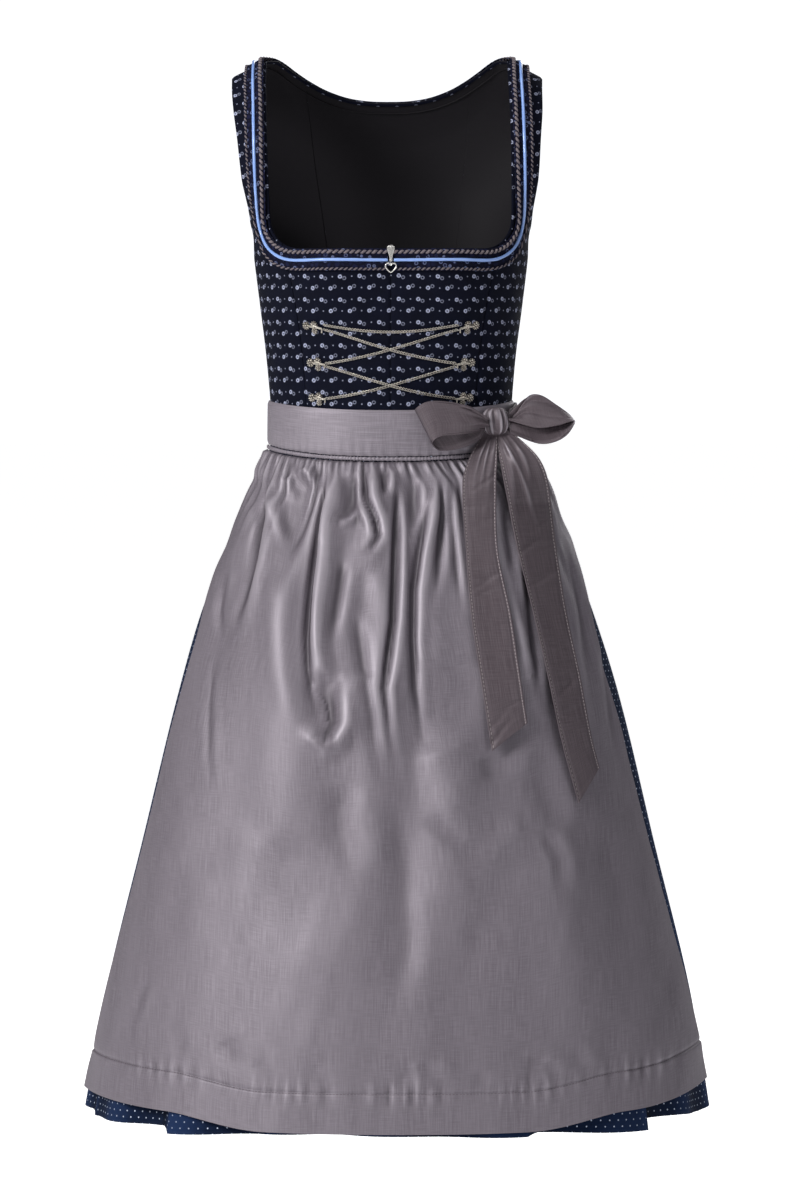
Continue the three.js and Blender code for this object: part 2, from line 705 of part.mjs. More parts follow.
function skirtSurface(angle, drop) {
  const shared = 1 - smoothstep(radians(76), radians(90), Math.abs(angle));
  const under = shared * (apronFold(angle, drop) + 1.5 * smoothstep(0, 30, drop - flareStart(angle)));
  return pointOut(angle, drop, -pleat(angle, drop) - under);
}

function skirtHem(angle) {
  return SKIRT_LENGTH - FRONT_HEM_RISE * Math.max(Math.cos(angle), 0);
}

// A wall on a surface that is given by an angle and a drop below the waist seam.
function hanging(name, colour, surface, columns, rows, place, outer, thickness) {
  const at = (lift) => (i, j) => {
    const [angle, drop] = place(i, j);
    const normal = normalOf(surface, angle, drop, -0.01, 1.5);
    normal.z = clamp(normal.z, -0.2, 0.45);
    return surface(angle, drop).addScaledVector(normal.normalize(), lift);
  };
  addMesh(name, wall(columns, rows, at(outer), at(outer - thickness)), colour);
}

// Rows that the skirt and the apron share, below the start of the flare.
const FLARE_ROWS = [22, 50, 110, 230, 400];
const SEAM_ANGLE = 0.0015;

function rowsAt(angle, first, last) {
  return [...first, ...FLARE_ROWS.map((fall) => flareStart(angle) + fall), last];
}

function skirtPanel(name, fromDegrees, toDegrees, columns) {
  const topRows = (angle) => [HALF_GAP, flareStart(angle), flareStart(angle) + 6];
  const rows = (angle) => rowsAt(angle, topRows(angle), skirtHem(angle));
  const count = rows(0).length - 1;
  const place = (i, j) => {
    const angle = lerp(radians(fromDegrees) + SEAM_ANGLE, radians(toDegrees) - SEAM_ANGLE, i);
    return [angle, rows(angle)[Math.round(j * count)]];
  };
  hanging(name, 'skirt', skirtSurface, columns, count, place, 0, SKIRT_CLOTH);
}

skirtPanel('skirt_front', -90, 90, 36);
skirtPanel('skirt_back_left', 90, 180, 18);
skirtPanel('skirt_back_right', 180, 270, 18);

// ---------------------------------------------------------------- apron

const APRON_OUT = { top: 2.8, low: 5.6 }; // the apron's clearance outside the skirt's form
const BAND = { inner: 1.2, thick: 1.6, from: -89.5, to: 88 };
const CORD = { height: 4.6, lift: 1.6, thick: 2.2 };

// Half angle of the apron: it wraps the hip and leaves a narrow strip of skirt showing lower down.
const APRON_EDGE = column(
  [
    { along: 0, half: 88 },
    { along: 0.14, half: 85 },
    { along: 0.22, half: 75 },
    { along: 0.34, half: 68 },
    { along: 0.6, half: 69.5 },
    { along: 1, half: 77 },
  ],
  'along',
  'half',
);

function apronOut(fall) {
  return lerp(APRON_OUT.top, APRON_OUT.low, smoothstep(0, 30, fall));
}

function apronSurface(angle, drop) {
  return pointOut(angle, drop, apronOut(drop - flareStart(angle)) - apronFold(angle, drop));
}

// The apron is this much shorter at its two sides than at centre front.
const SIDE_RISE = { front: 12, right: 1, left: 10, from: radians(20), middle: radians(42), to: radians(80) };

function apronFoot(angle) {
  const turn = Math.abs(angle);
  const further = angle < 0 ? SIDE_RISE.right : SIDE_RISE.left;
  const rise = SIDE_RISE.front * smoothstep(SIDE_RISE.from, SIDE_RISE.middle, turn);
  return APRON_LENGTH - rise - further * smoothstep(SIDE_RISE.middle, SIDE_RISE.to, turn);
}

const APRON_COLUMNS = 36;

function apronCloth(name, rows) {
  const count = rows(0).length - 1;
  const place = (i, j) => {
    const across = lerp(-1, 1, i);
    const drop = rows(across * radians(APRON_EDGE(0)))[Math.round(j * count)];
    return [across * radians(APRON_EDGE(drop / APRON_LENGTH)), drop];
  };
  hanging(name, 'apron', apronSurface, APRON_COLUMNS, count, place, 0, APRON_CLOTH);
}

const hemTop = (angle) => apronFoot(angle) - APRON_HEM;
const belowCord = (angle) => flareStart(angle) + CORD.height + 2 * SEAM_GAP;
apronCloth('apron_skirt', (angle) => rowsAt(angle, [belowCord(angle)], hemTop(angle)));
apronCloth('apron_hem', (angle) => [hemTop(angle) + SEAM_GAP, apronFoot(angle)]);

// The waist as a plain column that the band and the tie lie on.
function waistColumn(angle, drop, out) {
  const [x, y] = section(angle, 122 + out, 93.5 + out, 92.5 + out);
  return new THREE.Vector3(x, y, WAIST_Z - drop);
}

function waistStrip(name, columns, fromDegrees, toDegrees, edges, lift, thickness) {
  const at = (height) => (i, j) => {
    const angle = radians(lerp(fromDegrees, toDegrees, i));
    const [top, foot] = edges(angle);
    return waistColumn(angle, lerp(top, foot, j), height);
  };
  addMesh(name, wall(columns, 1, at(lift + thickness), at(lift)), 'apron');
}

const frontness = (angle) => Math.max(Math.cos(angle), 0) ** 1.5;
const bandTop = (angle) => lerp(BAND_TOP.side, BAND_TOP.front, frontness(angle));
const bandEdges = (angle) => [bandTop(angle), flareStart(angle)];
const cordEdges = (angle) => [flareStart(angle) + SEAM_GAP, flareStart(angle) + SEAM_GAP + CORD.height];
waistStrip('apron_waistband', 26, BAND.from, BAND.to, bandEdges, BAND.inner, BAND.thick);
waistStrip('apron_gather_cord', 26, -87, 87, cordEdges, CORD.lift, CORD.thick);

// ---------------------------------------------------------------- waist tie, bow and tails

const TIE = { top: -38, foot: -1, lift: 1.4, over: 5, thick: RIBBON_CLOTH };

// The tie leaves the band at the wearer's right, rounds the back and comes over the band to the knot.
function tieSolid() {
  const at = (height) => (i, j) => {
    const angle = radians(lerp(268.4, 66, i));
    const over = lerp(TIE.over, TIE.lift, smoothstep(radians(92), radians(104), angle));
    const pinch = lerp(0.7, 1, smoothstep(radians(66), radians(84), angle));
    const middle = (TIE.top + TIE.foot) / 2 - 3;
    const drop = middle + pinch * lerp(TIE.top - TIE.foot, TIE.foot - TIE.top, j) * 0.5;
    return waistColumn(angle, drop, over + height);
  };
  return wall(30, 1, at(TIE.thick), at(0));
}

addMesh('waist_tie', tieSolid(), 'apron');

const KNOT = { x: 105, y: -76, z: -365, halfX: 11, halfY: 9, halfZ: 13.5 };
const knot = new THREE.SphereGeometry(1, 12, 8);
knot.scale(KNOT.halfX, KNOT.halfY, KNOT.halfZ);
addMesh('bow_knot', fromManifold(toManifold(knot)), 'apron').position.set(KNOT.x, KNOT.y, KNOT.z);

// Bow loops: the two edges of the ribbon at stations from the knot, round the end and back.
const RIGHT_LOOP = [
  { upper: [93, -86, -357], lower: [93, -86, -371] },
  { upper: [76, -100, -347], lower: [82, -98, -373] },
  { upper: [52, -108, -342], lower: [66, -106, -375] },
  { upper: [34, -111, -343], lower: [48, -111, -377] },
  { upper: [24, -108, -350], lower: [41, -109, -384] },
  { upper: [30, -103, -350], lower: [49, -102, -391] },
  { upper: [52, -99, -349], lower: [72, -96, -388] },
  { upper: [78, -88, -353], lower: [88, -86, -380] },
  { upper: [92, -80, -358], lower: [92, -80, -372] },
];
const LEFT_LOOP = [
  { upper: [117, -68, -356], lower: [117, -82, -361] },
  { upper: [136, -62, -337], lower: [133, -84, -366] },
  { upper: [150, -60, -336.5], lower: [147, -84, -369] },
  { upper: [166, -60, -347], lower: [166, -82, -366] },
  { upper: [180, -60, -358], lower: [183, -78, -362] },
  { upper: [170, -58, -354], lower: [176, -80, -375] },
  { upper: [155, -56, -352], lower: [162, -82, -383] },
  { upper: [140, -57, -354], lower: [146, -82, -384] },
  { upper: [117, -66, -362], lower: [119, -80, -374] },
];

function loopSolid(stations) {
  const edge = (name) => new THREE.CatmullRomCurve3(stations.map((row) => new THREE.Vector3(...row[name])));
  const [upper, lower] = [edge('upper'), edge('lower')];
  const surface = (i, j) => upper.getPoint(clamp(i, 0, 1)).lerp(lower.getPoint(clamp(i, 0, 1)), j);
  const at = (lift) => (i, j) => {
    const normal = normalOf(surface, clamp(i, 0.01, 0.99), clamp(j, 0.02, 0.98), 0.008, 0.02);
    return surface(i, j).addScaledVector(normal, lift);
  };
  return wall(20, 2, at(RIBBON_CLOTH / 2), at(-RIBBON_CLOTH / 2));
}

addMesh('bow_loop_right', loopSolid(RIGHT_LOOP), 'apron');
addMesh('bow_loop_left', loopSolid(LEFT_LOOP), 'apron');

// Tails: height and distance from the centre line of their two edges, from the knot to the cut end.
const TAILS = {
  right: [
    { zInner: -381, inner: 86, zOuter: -381, outer: 104 },
    { zInner: -400, inner: 75, zOuter: -400, outer: 105 },
    { zInner: -423, inner: 70.6, zOuter: -423, outer: 104.4 },
    { zInner: -486, inner: 73.8, zOuter: -486, outer: 105.3 },
    { zInner: -548, inner: 78.4, zOuter: -548, outer: 117.6 },
    { zInner: -611, inner: 87.8, zOuter: -611, outer: 126.9 },
    { zInner: -680, inner: 98.3, zOuter: -654, outer: 133.4 },
  ],
  left: [
    { zInner: -381, inner: 107, zOuter: -381, outer: 126 },
    { zInner: -400, inner: 110, zOuter: -400, outer: 142 },
    { zInner: -423, inner: 112.3, zOuter: -423, outer: 155 },
    { zInner: -486, inner: 125, zOuter: -486, outer: 164.5 },
    { zInner: -548, inner: 140, zOuter: -548, outer: 173.5 },
    { zInner: -611, inner: 154.4, zOuter: -611, outer: 186.6 },
    { zInner: -673, inner: 167.5, zOuter: -668, outer: 197 },
    { zInner: -733, inner: 183.7, zOuter: -701, outer: 205.3 },
  ],
};
const TAIL_LIFT = 5;
const TAIL_REST = { z: -445, top: -381, y: -82 }; // the tails hang free from the knot down to here

function tailPoint(x, z, lift) {
  const drop = WAIST_Z - Math.min(z, TAIL_REST.z);
  const fall = drop - BAND_FOOT.side;
  const out = apronOut(fall) + lift;
  const ratio = clamp((x - skirtColumn.lean(fall)) / (skirtColumn.half(fall) + out), -0.985, 0.985);
  const angle = Math.sign(ratio) * Math.asin(Math.abs(ratio) ** (SECTION_POWER / 2));
  const lying = pointOut(angle, drop, out).y;
  const hung = smoothstep(TAIL_REST.z, TAIL_REST.top, z);
  return new THREE.Vector3(x, lerp(lying, TAIL_REST.y - lift + TAIL_LIFT, hung), z);
}

function tailSolid(rows) {
  const last = rows.length - 1;
  const at = (lift) => (i, j) => {
    const row = rows[Math.round(i * last)];
    return tailPoint(lerp(row.inner, row.outer, j), lerp(row.zInner, row.zOuter, j), lift);
  };
  return wall(last, 3, at(TAIL_LIFT + RIBBON_CLOTH), at(TAIL_LIFT));
}

addMesh('bow_tail_right', tailSolid(TAILS.right), 'apron');
addMesh('bow_tail_left', tailSolid(TAILS.left), 'apron');

export default dress;
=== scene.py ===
# %% [markdown]
# # Dirndl dress with its apron
# The dress is built as it is worn: a fitted cotton bodice with a trimmed square neck, a pleated skirt,
# and a satin apron that is tied with a bow at the wearer's left.
# Each piece of cloth, braid and silver is made once and stands for the plain solids of the same part.
# Millimetres are used for every form below, because a maker measures in them. The last step of each
# piece turns them into metres.

import math

import bmesh
import bpy
import numpy as np
from mathutils import Matrix, Vector


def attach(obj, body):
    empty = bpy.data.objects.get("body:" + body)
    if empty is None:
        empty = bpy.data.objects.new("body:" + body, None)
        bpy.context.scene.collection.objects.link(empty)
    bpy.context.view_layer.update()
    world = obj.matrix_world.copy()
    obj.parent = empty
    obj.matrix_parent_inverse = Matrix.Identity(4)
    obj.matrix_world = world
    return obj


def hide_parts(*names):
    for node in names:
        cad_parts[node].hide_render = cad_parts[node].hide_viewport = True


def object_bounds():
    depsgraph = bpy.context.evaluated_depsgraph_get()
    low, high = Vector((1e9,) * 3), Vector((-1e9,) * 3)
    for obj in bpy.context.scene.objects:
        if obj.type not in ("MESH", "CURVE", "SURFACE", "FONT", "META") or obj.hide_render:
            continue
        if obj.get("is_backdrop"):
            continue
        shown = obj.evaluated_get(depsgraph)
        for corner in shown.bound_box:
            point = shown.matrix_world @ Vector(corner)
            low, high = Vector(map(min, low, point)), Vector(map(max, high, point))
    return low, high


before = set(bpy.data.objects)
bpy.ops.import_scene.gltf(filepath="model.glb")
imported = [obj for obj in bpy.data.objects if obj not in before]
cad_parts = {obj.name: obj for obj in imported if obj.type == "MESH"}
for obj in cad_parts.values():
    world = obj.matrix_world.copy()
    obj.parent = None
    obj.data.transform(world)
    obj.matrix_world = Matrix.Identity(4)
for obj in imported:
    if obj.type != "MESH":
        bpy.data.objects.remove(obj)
size_at_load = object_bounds()

# %% [markdown]
# ## Smooth curves through short tables
# A pattern maker works from a few measured heights and fairs a line through them. A spline object or a
# subdivided cage could do the same. Tables are used here, because every form then is a function:
# any piece can ask for a place at any height, and neighbouring pieces meet exactly.

# %% curves
MM = 0.001


def smooth(low, high, value):
    """0 below low, 1 above high, and an even S between them."""
    t = np.clip((value - low) / (high - low), 0, 1)
    return t * t * (3 - 2 * t)


def mix(a, b, t):
    return a + (b - a) * t


def hump(x, width):
    """A bell, 1 in the middle, that fades over about twice its width."""
    return np.exp(-((x / width) ** 2))


def curve(rows, column):
    """A smooth function of the table's first column."""
    keys = np.array([row[0] for row in rows], float)
    values = np.array([row[column] for row in rows], float)
    slope = np.empty(len(rows))
    slope[1:-1] = (values[2:] - values[:-2]) / (keys[2:] - keys[:-2])
    slope[0] = (values[1] - values[0]) / (keys[1] - keys[0])
    slope[-1] = (values[-1] - values[-2]) / (keys[-1] - keys[-2])

    def at(place):
        place = np.clip(place, keys[0], keys[-1])
        i = np.clip(np.searchsorted(keys, place), 1, len(keys) - 1)
        step = keys[i] - keys[i - 1]
        t = (place - keys[i - 1]) / step
        rise = values[i] - values[i - 1]
        bend = (slope[i - 1] * (1 - t) - slope[i] * t) * step * t * (1 - t)
        return values[i - 1] + rise * t + bend + rise * t * (1 - t) * (2 * t - 1)

    return at


def unit(v):
    return v / np.maximum(np.linalg.norm(v, axis=-1, keepdims=True), 1e-9)


SECTION_POWER = 2.3  # 2 is an ellipse, more is squarer


def section(angle, half, front, back):
    """A squared ellipse. Angle 0 is centre front, a quarter turn is the side."""
    sine, cosine = np.sin(angle), np.cos(angle)
    power = 2 / SECTION_POWER
    depth = np.where(cosine > 0, front, -back)
    return np.sign(sine) * half * np.abs(sine) ** power, -depth * np.abs(cosine) ** power


def lifted(surface, u, v, step_u, step_v, lift):
    """Points of a surface moved off it along its outward normal."""
    along_u = surface(u + step_u, v) - surface(u - step_u, v)
    along_v = surface(u, v + step_v) - surface(u, v - step_v)
    normal = unit(np.cross(along_u, along_v))
    return surface(u, v) + normal * np.asarray(lift)[..., None]


# %% [markdown]
# ## The torso
# The bodice lies on one surface from the waist seam to the shoulder line. It could be sculpted from a
# body, but a stack of squared ovals is enough for fitted cotton and keeps both sides alike.
# The rows give the height above the waist seam, the true height, the half width,
# the depth in front, the depth behind and a small lean to one side.

# %% torso form
TORSO = [
    (0, -386, 121.5, 93, 92, 0),
    (34, -352, 121.8, 93.5, 91.5, 0),
    (86, -300, 126, 98, 94, 0),
    (135, -251, 132, 107, 99, 0),
    (183, -203, 138, 115, 104, 0),
    (219, -167, 141.5, 110, 106, 0),
    (266, -120, 168, 97, 104, -1),
    (310, -78, 187, 83, 95, -2),
    (352, -43, 194, 62, 77, -3),
    (386, -18, 197, 37, 50, -4),
    (412, -4, 198, 14, 22, -4),
    (428, 0, 198, 0, 0, -4),
]
WAIST, SHOULDER, UNDERARM = -386, 428, 219
NECK_HALF, NECK_LOW, NECK_CORNER, BACK_NECK = 122, 195, 30, 350
CUP_X, CUP_RISE, CUP_WIDE, CUP_HIGH, CUP_DEPTH = 64, 166, 34, 40, 6
SLOPE_START, SHOULDER_SLOPE = 266, 0.5  # the straps fall this much per millimetre outwards
torso_z, torso_half, torso_front, torso_back, torso_lean = (curve(TORSO, k) for k in range(1, 6))


def torso(angle, rise):
    """A place on the bodice: two soft cups in front, and straps that slope down outwards."""
    x, y = section(angle, torso_half(rise), torso_front(rise), torso_back(rise))
    cups = CUP_DEPTH * hump(np.abs(x) - CUP_X, CUP_WIDE) * hump(rise - CUP_RISE, CUP_HIGH)
    slope = SHOULDER_SLOPE * (np.abs(x) - NECK_HALF) * smooth(SLOPE_START, SHOULDER, rise)
    y = y - smooth(0, 0.5, np.cos(angle)) * cups
    return np.stack([x + torso_lean(rise), y, torso_z(rise) - np.maximum(slope, -6)], axis=-1)


def on_torso(angle, rise, lift):
    """Places lift mm off the bodice's surface."""
    angle, rise = np.broadcast_arrays(np.asarray(angle, float), np.asarray(rise, float))
    safe = np.clip(rise, 0.6, SHOULDER - 0.2)
    moved = lifted(torso, angle, safe, 0.004, 0.5, np.broadcast_to(lift, angle.shape))
    return moved + torso(angle, rise) - torso(angle, safe)


def angle_of(x, rise, behind=False):
    """The angle at which the torso is x from the centre line."""
    ratio = np.clip(x / torso_half(rise), -1, 1)
    quarter = np.sign(ratio) * np.arcsin(np.abs(ratio) ** (SECTION_POWER / 2))
    return math.pi - quarter if behind else quarter


def torso_measure(angle, rise, start):
    """Distances along the cloth: round from the start angle, and up from the waist."""
    steps = np.linspace(0, 1, 22)
    angles, rises = (np.repeat(value[..., None], len(steps), -1) for value in (angle, rise))
    round_ = torso(start + (angles - start) * steps, rises)
    up = torso(angles, rises * steps)
    length = [np.linalg.norm(np.diff(line, axis=-2), axis=-1).sum(-1) for line in (round_, up)]
    return np.stack([length[0] * np.sign(angle - start), length[1]], axis=-1)


print("bust depth", round(float(torso_front(183) + torso_back(183))), "mm")

# %% [markdown]
# ## The flare of skirt and apron
# Both hang from one flared form. Cloth simulation could drape them, but the folds would then fall where
# they like. Here the few large folds are listed one by one, and both cloths share them, so that the apron
# rests on the skirt. The pleats deepen towards the hem.

# %% skirt form
SKIRT = [
    (0, 122, 93.5, 92.5, 0),
    (6, 123.5, 95, 94, 0),
    (35, 143, 110, 109, 8.5),
    (83, 164, 134, 133, 8),
    (157, 196, 165, 164, 6),
    (253, 226, 195, 193, 7),
    (399, 262, 230, 228, 6.5),
    (545, 298, 261, 259, 6),
    (667, 319, 281, 279, 5),
]
SKIRT_LENGTH, APRON_LENGTH, APRON_HEM = 667, 656, 38
FRONT_HEM_RISE = 9  # the skirt's hem is this much higher at centre front
SEAM_SIDE, SEAM_FRONT = 0.5, 11  # the waistband's foot lies this far below the waist seam
skirt_half, skirt_front, skirt_back, skirt_lean = (curve(SKIRT, k) for k in range(1, 5))

# Larger folds of the apron: degrees at the waist and at the hem, half width, depth,
# and the part of the length they run over.
APRON_FOLDS = [
    (1.5, 3, 4.5, 8, 0, 0.95),
    (-28, -14, 6, 8, 0, 0.45),
    (-38, -36, 6, 7, 0, 0.24),
    (-14, -10, 4, 5, 0, 0.3),
    (15, 4, 4.5, 6, 0, 0.4),
    (27, 18, 4.5, 6, 0, 0.5),
    (46, 34, 5, 7, 0, 0.6),
    (-57, -44, 6, 6, 0, 0.5),
    (64, 58, 5, 5, 0, 0.7),
]


def flare_start(angle):
    """The drop at which the skirt and apron leave the waistband."""
    return mix(SEAM_SIDE, SEAM_FRONT, np.maximum(np.cos(angle), 0) ** 1.5)


def hung(angle, drop, out):
    """A point of the flared form, out mm outside it."""
    fall = np.maximum(drop - flare_start(angle), 0)
    x, y = section(angle, skirt_half(fall) + out, skirt_front(fall) + out, skirt_back(fall) + out)
    return np.stack([x + skirt_lean(fall), y, WAIST - drop + 0 * angle], axis=-1)


def apron_fold(angle, drop):
    """How deep the apron's larger folds are."""
    along = drop / APRON_LENGTH
    total = 0 * angle
    for top, hem, spread, depth, start, end in APRON_FOLDS:
        across = (np.degrees(angle) - mix(top, hem, along)) / spread
        reach = smooth(0.02, 0.1, along) * (1 - smooth(start, end, along) ** 2)
        total = total + depth * reach * np.exp(-across * across)
    return total


def pleat(angle, drop):
    """Uneven pleats that deepen towards the hem, and are flatter under the apron."""
    wave = 18 * angle + 0.9 * np.sin(3 * angle + 1) + 0.6 * np.sin(5 * angle)
    depth = mix(1, 15, smooth(10, SKIRT_LENGTH, drop))
    covered = smooth(math.radians(70), math.radians(95), np.abs(angle))
    return depth * mix(0.45, 1, covered) * (1 - np.cos(wave)) / 2


def skirt_surface(angle, drop):
    shared = 1 - smooth(math.radians(76), math.radians(90), np.abs(angle))
    under = shared * (apron_fold(angle, drop) + 1.5 * smooth(0, 30, drop - flare_start(angle)))
    return hung(angle, drop, -pleat(angle, drop) - under)


def skirt_hem(angle):
    return SKIRT_LENGTH - FRONT_HEM_RISE * np.maximum(np.cos(angle), 0)


def apron_out(fall):
    return mix(2.8, 5.6, smooth(0, 30, fall))


def apron_surface(angle, drop):
    return hung(angle, drop, apron_out(drop - flare_start(angle)) - apron_fold(angle, drop))


# Half angle of the apron, and how much shorter it is at its two sides.
apron_edge = curve([(0, 88), (0.11, 86), (0.16, 80.5), (0.22, 73), (0.3, 68), (0.6, 69.5), (1, 77)], 1)


# Broad swells of the apron: where they start and end (mm from the centre line, mm below the waist),
# their half width and their height.
BROAD_FOLDS = [
    (-84, 60, -112, 420, 44, 9),
    (-6, 150, -8, 430, 34, 6),
    (138, 330, 170, 560, 40, 8),
    (52, 260, 66, 520, 34, 6),
    (-190, 180, -236, 560, 34, 6),
    (-60, 430, -74, 640, 40, 5),
    (20, 480, 24, 640, 30, 4),
    (96, 20, 150, 300, 26, 5),
]


def broad_folds(x, drop):
    total = 0 * x
    for x0, d0, x1, d1, wide, high in BROAD_FOLDS:
        along = (drop - d0) / (d1 - d0)
        reach = smooth(-0.05, 0.35, along) * smooth(1.1, 0.55, along)
        total = total + high * reach * hump(x - mix(x0, x1, along), wide)
    return total


def apron_foot(angle):
    """The drop at the apron's lower edge. Its two corners hang a little shorter."""
    turn = np.degrees(np.abs(angle))
    return APRON_LENGTH - 12 * smooth(20, 42, turn) - np.where(angle < 0, 1, 10) * smooth(42, 80, turn)


def hanging(surface, angle, drop, lift):
    """Points off a hanging surface. The lift leans up or down only a little."""
    along_u = surface(angle - 0.01, drop) - surface(angle + 0.01, drop)
    along_v = surface(angle, drop + 1.5) - surface(angle, drop - 1.5)
    normal = unit(np.cross(along_u, along_v))
    normal[..., 2] = np.clip(normal[..., 2], -0.2, 0.45)
    return surface(angle, drop) + unit(normal) * np.asarray(lift)[..., None]


round_hem = hung(np.linspace(-math.pi, math.pi, 721), np.full(721, float(SKIRT_LENGTH)), 0.0)
print("hem girth", round(float(np.linalg.norm(np.diff(round_hem, axis=0), axis=1).sum())), "mm")

# %% [markdown]
# ## Shading groups
# A printed cotton is a repeat along the threads, so it has to bend with the cloth. An image could hold it,
# but nodes stay sharp at any distance. Each repeat or weave is one group of nodes, drawn in millimetres
# along the flat cloth, and is used by every piece of that cloth.

# %% node tools
def tone(red, green, blue):
    """A colour from its three screen values."""
    parts = [c / 255 for c in (red, green, blue)]
    return tuple(p / 12.92 if p <= 0.04045 else ((p + 0.055) / 1.055) ** 2.4 for p in parts) + (1.0,)


class Nodes:
    """Short names for laying out nodes in one tree. end is a group's output node."""

    def __init__(self, tree, end=None):
        self.tree = tree
        self.end = end

    def put(self, kind, inputs=(), **settings):
        node = self.tree.nodes.new(kind)
        for name, value in settings.items():
            setattr(node, name, value)
        for slot, value in dict(inputs).items():
            if isinstance(value, bpy.types.NodeSocket):
                self.tree.links.new(value, node.inputs[slot])
            else:
                node.inputs[slot].default_value = value
        return node

    def math(self, operation, a, b=0.0, c=0.0):
        return self.put("ShaderNodeMath", {0: a, 1: b, 2: c}, operation=operation).outputs[0]

    def add(self, a, b):
        return self.math("ADD", a, b)

    def less(self, a, b):
        return self.math("SUBTRACT", a, b)

    def times(self, a, b):
        return self.math("MULTIPLY", a, b)

    def most(self, a, b):
        return self.math("MAXIMUM", a, b)

    def size(self, a):
        return self.math("ABSOLUTE", a)

    def wrap(self, a, every):
        return self.math("FLOORED_MODULO", a, every)

    def split(self, vector):
        """The first two parts of a vector."""
        parts = self.put("ShaderNodeSeparateXYZ", {0: vector})
        return parts.outputs[0], parts.outputs[1]

    def span(self, share, low, high):
        return self.put("ShaderNodeMapRange", {"Value": share, "To Min": low, "To Max": high}).outputs["Result"]

    def step(self, value, low, high):
        """0 below low, 1 above high, and smooth between."""
        rise = {"Value": value, "From Min": low, "From Max": high}
        return self.put("ShaderNodeMapRange", rise, interpolation_type="SMOOTHSTEP").outputs["Result"]

    def blend(self, share, a, b):
        mixer = self.put("ShaderNodeMix", {0: share}, data_type="RGBA")
        for socket, value in ((mixer.inputs[6], a), (mixer.inputs[7], b)):
            if isinstance(value, bpy.types.NodeSocket):
                self.tree.links.new(value, socket)
            else:
                socket.default_value = value
        return mixer.outputs[2]

    def noise(self, vector, scale, detail=3.0, rough=0.5):
        inputs = {"Vector": vector, "Scale": scale, "Detail": detail, "Roughness": rough}
        return self.put("ShaderNodeTexNoise", inputs).outputs["Fac"]

    def stretch(self, vector, x, y, z=1.0):
        return self.put("ShaderNodeMapping", {"Vector": vector, "Scale": (x, y, z)}).outputs[0]

    def give(self, **results):
        """Feeds the group's outputs, and returns the finished group."""
        for title, socket in results.items():
            self.tree.links.new(socket, self.end.inputs[title])
        return self.tree


def group(name, colours=(), values=()):
    """A node group with one vector input. Returns its nodes and its vector."""
    tree = bpy.data.node_groups.new(name, "ShaderNodeTree")
    tree.interface.new_socket("Vector", in_out="INPUT", socket_type="NodeSocketVector")
    for title in colours:
        tree.interface.new_socket(title, in_out="OUTPUT", socket_type="NodeSocketColor")
    for title in values:
        tree.interface.new_socket(title, in_out="OUTPUT", socket_type="NodeSocketFloat")
    start = tree.nodes.new("NodeGroupInput")
    end = tree.nodes.new("NodeGroupOutput")
    return Nodes(tree, end), start.outputs["Vector"]


def disc(n, x, y, at_x, at_y, radius, soft):
    """1 inside a small disc."""
    dx, dy = n.less(x, at_x), n.less(y, at_y)
    far = n.math("SQRT", n.add(n.times(dx, dx), n.times(dy, dy)))
    return n.less(1.0, n.step(far, radius - soft, radius + soft))


def plain_weave(n, place, size):
    """Height of crossing threads, size mm apart."""
    over, under = (n.math("SINE", n.times(part, math.pi / size)) for part in n.split(place))
    return n.size(n.times(over, under))


# %% the bodice print
# Rows 11.7 mm apart hold pairs of small rings, 19.3 mm apart, with a dot between the pairs.
ROW, PAIR = 11.7, 19.3


def ring_print():
    n, place = group("ring print", ["Color"], ["Height"])
    u, v = n.split(place)
    row = n.math("FLOOR", n.math("DIVIDE", v, ROW))
    y = n.less(v, n.times(n.add(row, 0.5), ROW))
    odd = n.wrap(row, 2.0)
    shifted = n.add(u, n.times(odd, PAIR / 2))
    x = n.less(n.wrap(shifted, PAIR), PAIR / 2)
    flip = n.less(n.times(odd, 2.0), 1.0)
    high = n.times(flip, 1.7)
    petals, hollow, eye = (disc(n, x, y, -1.9, 0.0, *rim) for rim in ((2.05, 0.35), (0.95, 0.3), (0.35, 0.2)))
    flower = n.most(n.less(petals, hollow), eye)
    faint = n.less(disc(n, x, y, 2.3, high, 1.9, 0.35), disc(n, x, y, 2.3, high, 1.0, 0.3))
    away = n.less(PAIR / 2, n.size(x))
    dot = disc(n, away, y, 0.0, 0.0, 0.65, 0.25)
    worn = n.step(n.noise(place, 0.9, 2.0), 0.28, 0.62)
    mask = n.most(n.most(flower, n.times(faint, 0.42)), n.times(dot, 0.75))
    mask = n.times(mask, n.add(n.times(worn, 0.55), 0.3))
    cloth = n.blend(n.noise(place, 0.05, 2.0), tone(4, 6, 18), tone(9, 13, 32))
    return n.give(Color=n.blend(mask, cloth, tone(196, 202, 232)), Height=plain_weave(n, place, 0.45))


# %% the skirt's pin dots
DOT_ACROSS, DOT_DOWN = 9.8, 12.2


def pin_dots():
    n, place = group("pin dots", ["Color"], ["Height"])
    u, v = n.split(place)
    dots = None
    for shift in (0.0, 0.5):
        x = n.wrap(n.add(u, shift * DOT_ACROSS), DOT_ACROSS)
        y = n.wrap(n.add(v, shift * DOT_DOWN), DOT_DOWN)
        one = disc(n, x, y, DOT_ACROSS / 2, DOT_DOWN / 2, 0.72, 0.22)
        dots = one if dots is None else n.most(dots, one)
    cloth = n.blend(n.noise(place, 0.03, 3.0), tone(6, 17, 37), tone(11, 26, 53))
    slub = n.step(n.noise(n.stretch(place, 0.12, 2.2), 1.0, 2.0), 0.4, 0.75)
    cloth = n.blend(n.times(slub, 0.25), cloth, tone(28, 48, 86))
    return n.give(Color=n.blend(dots, cloth, tone(200, 212, 236)), Height=plain_weave(n, place, 0.5))


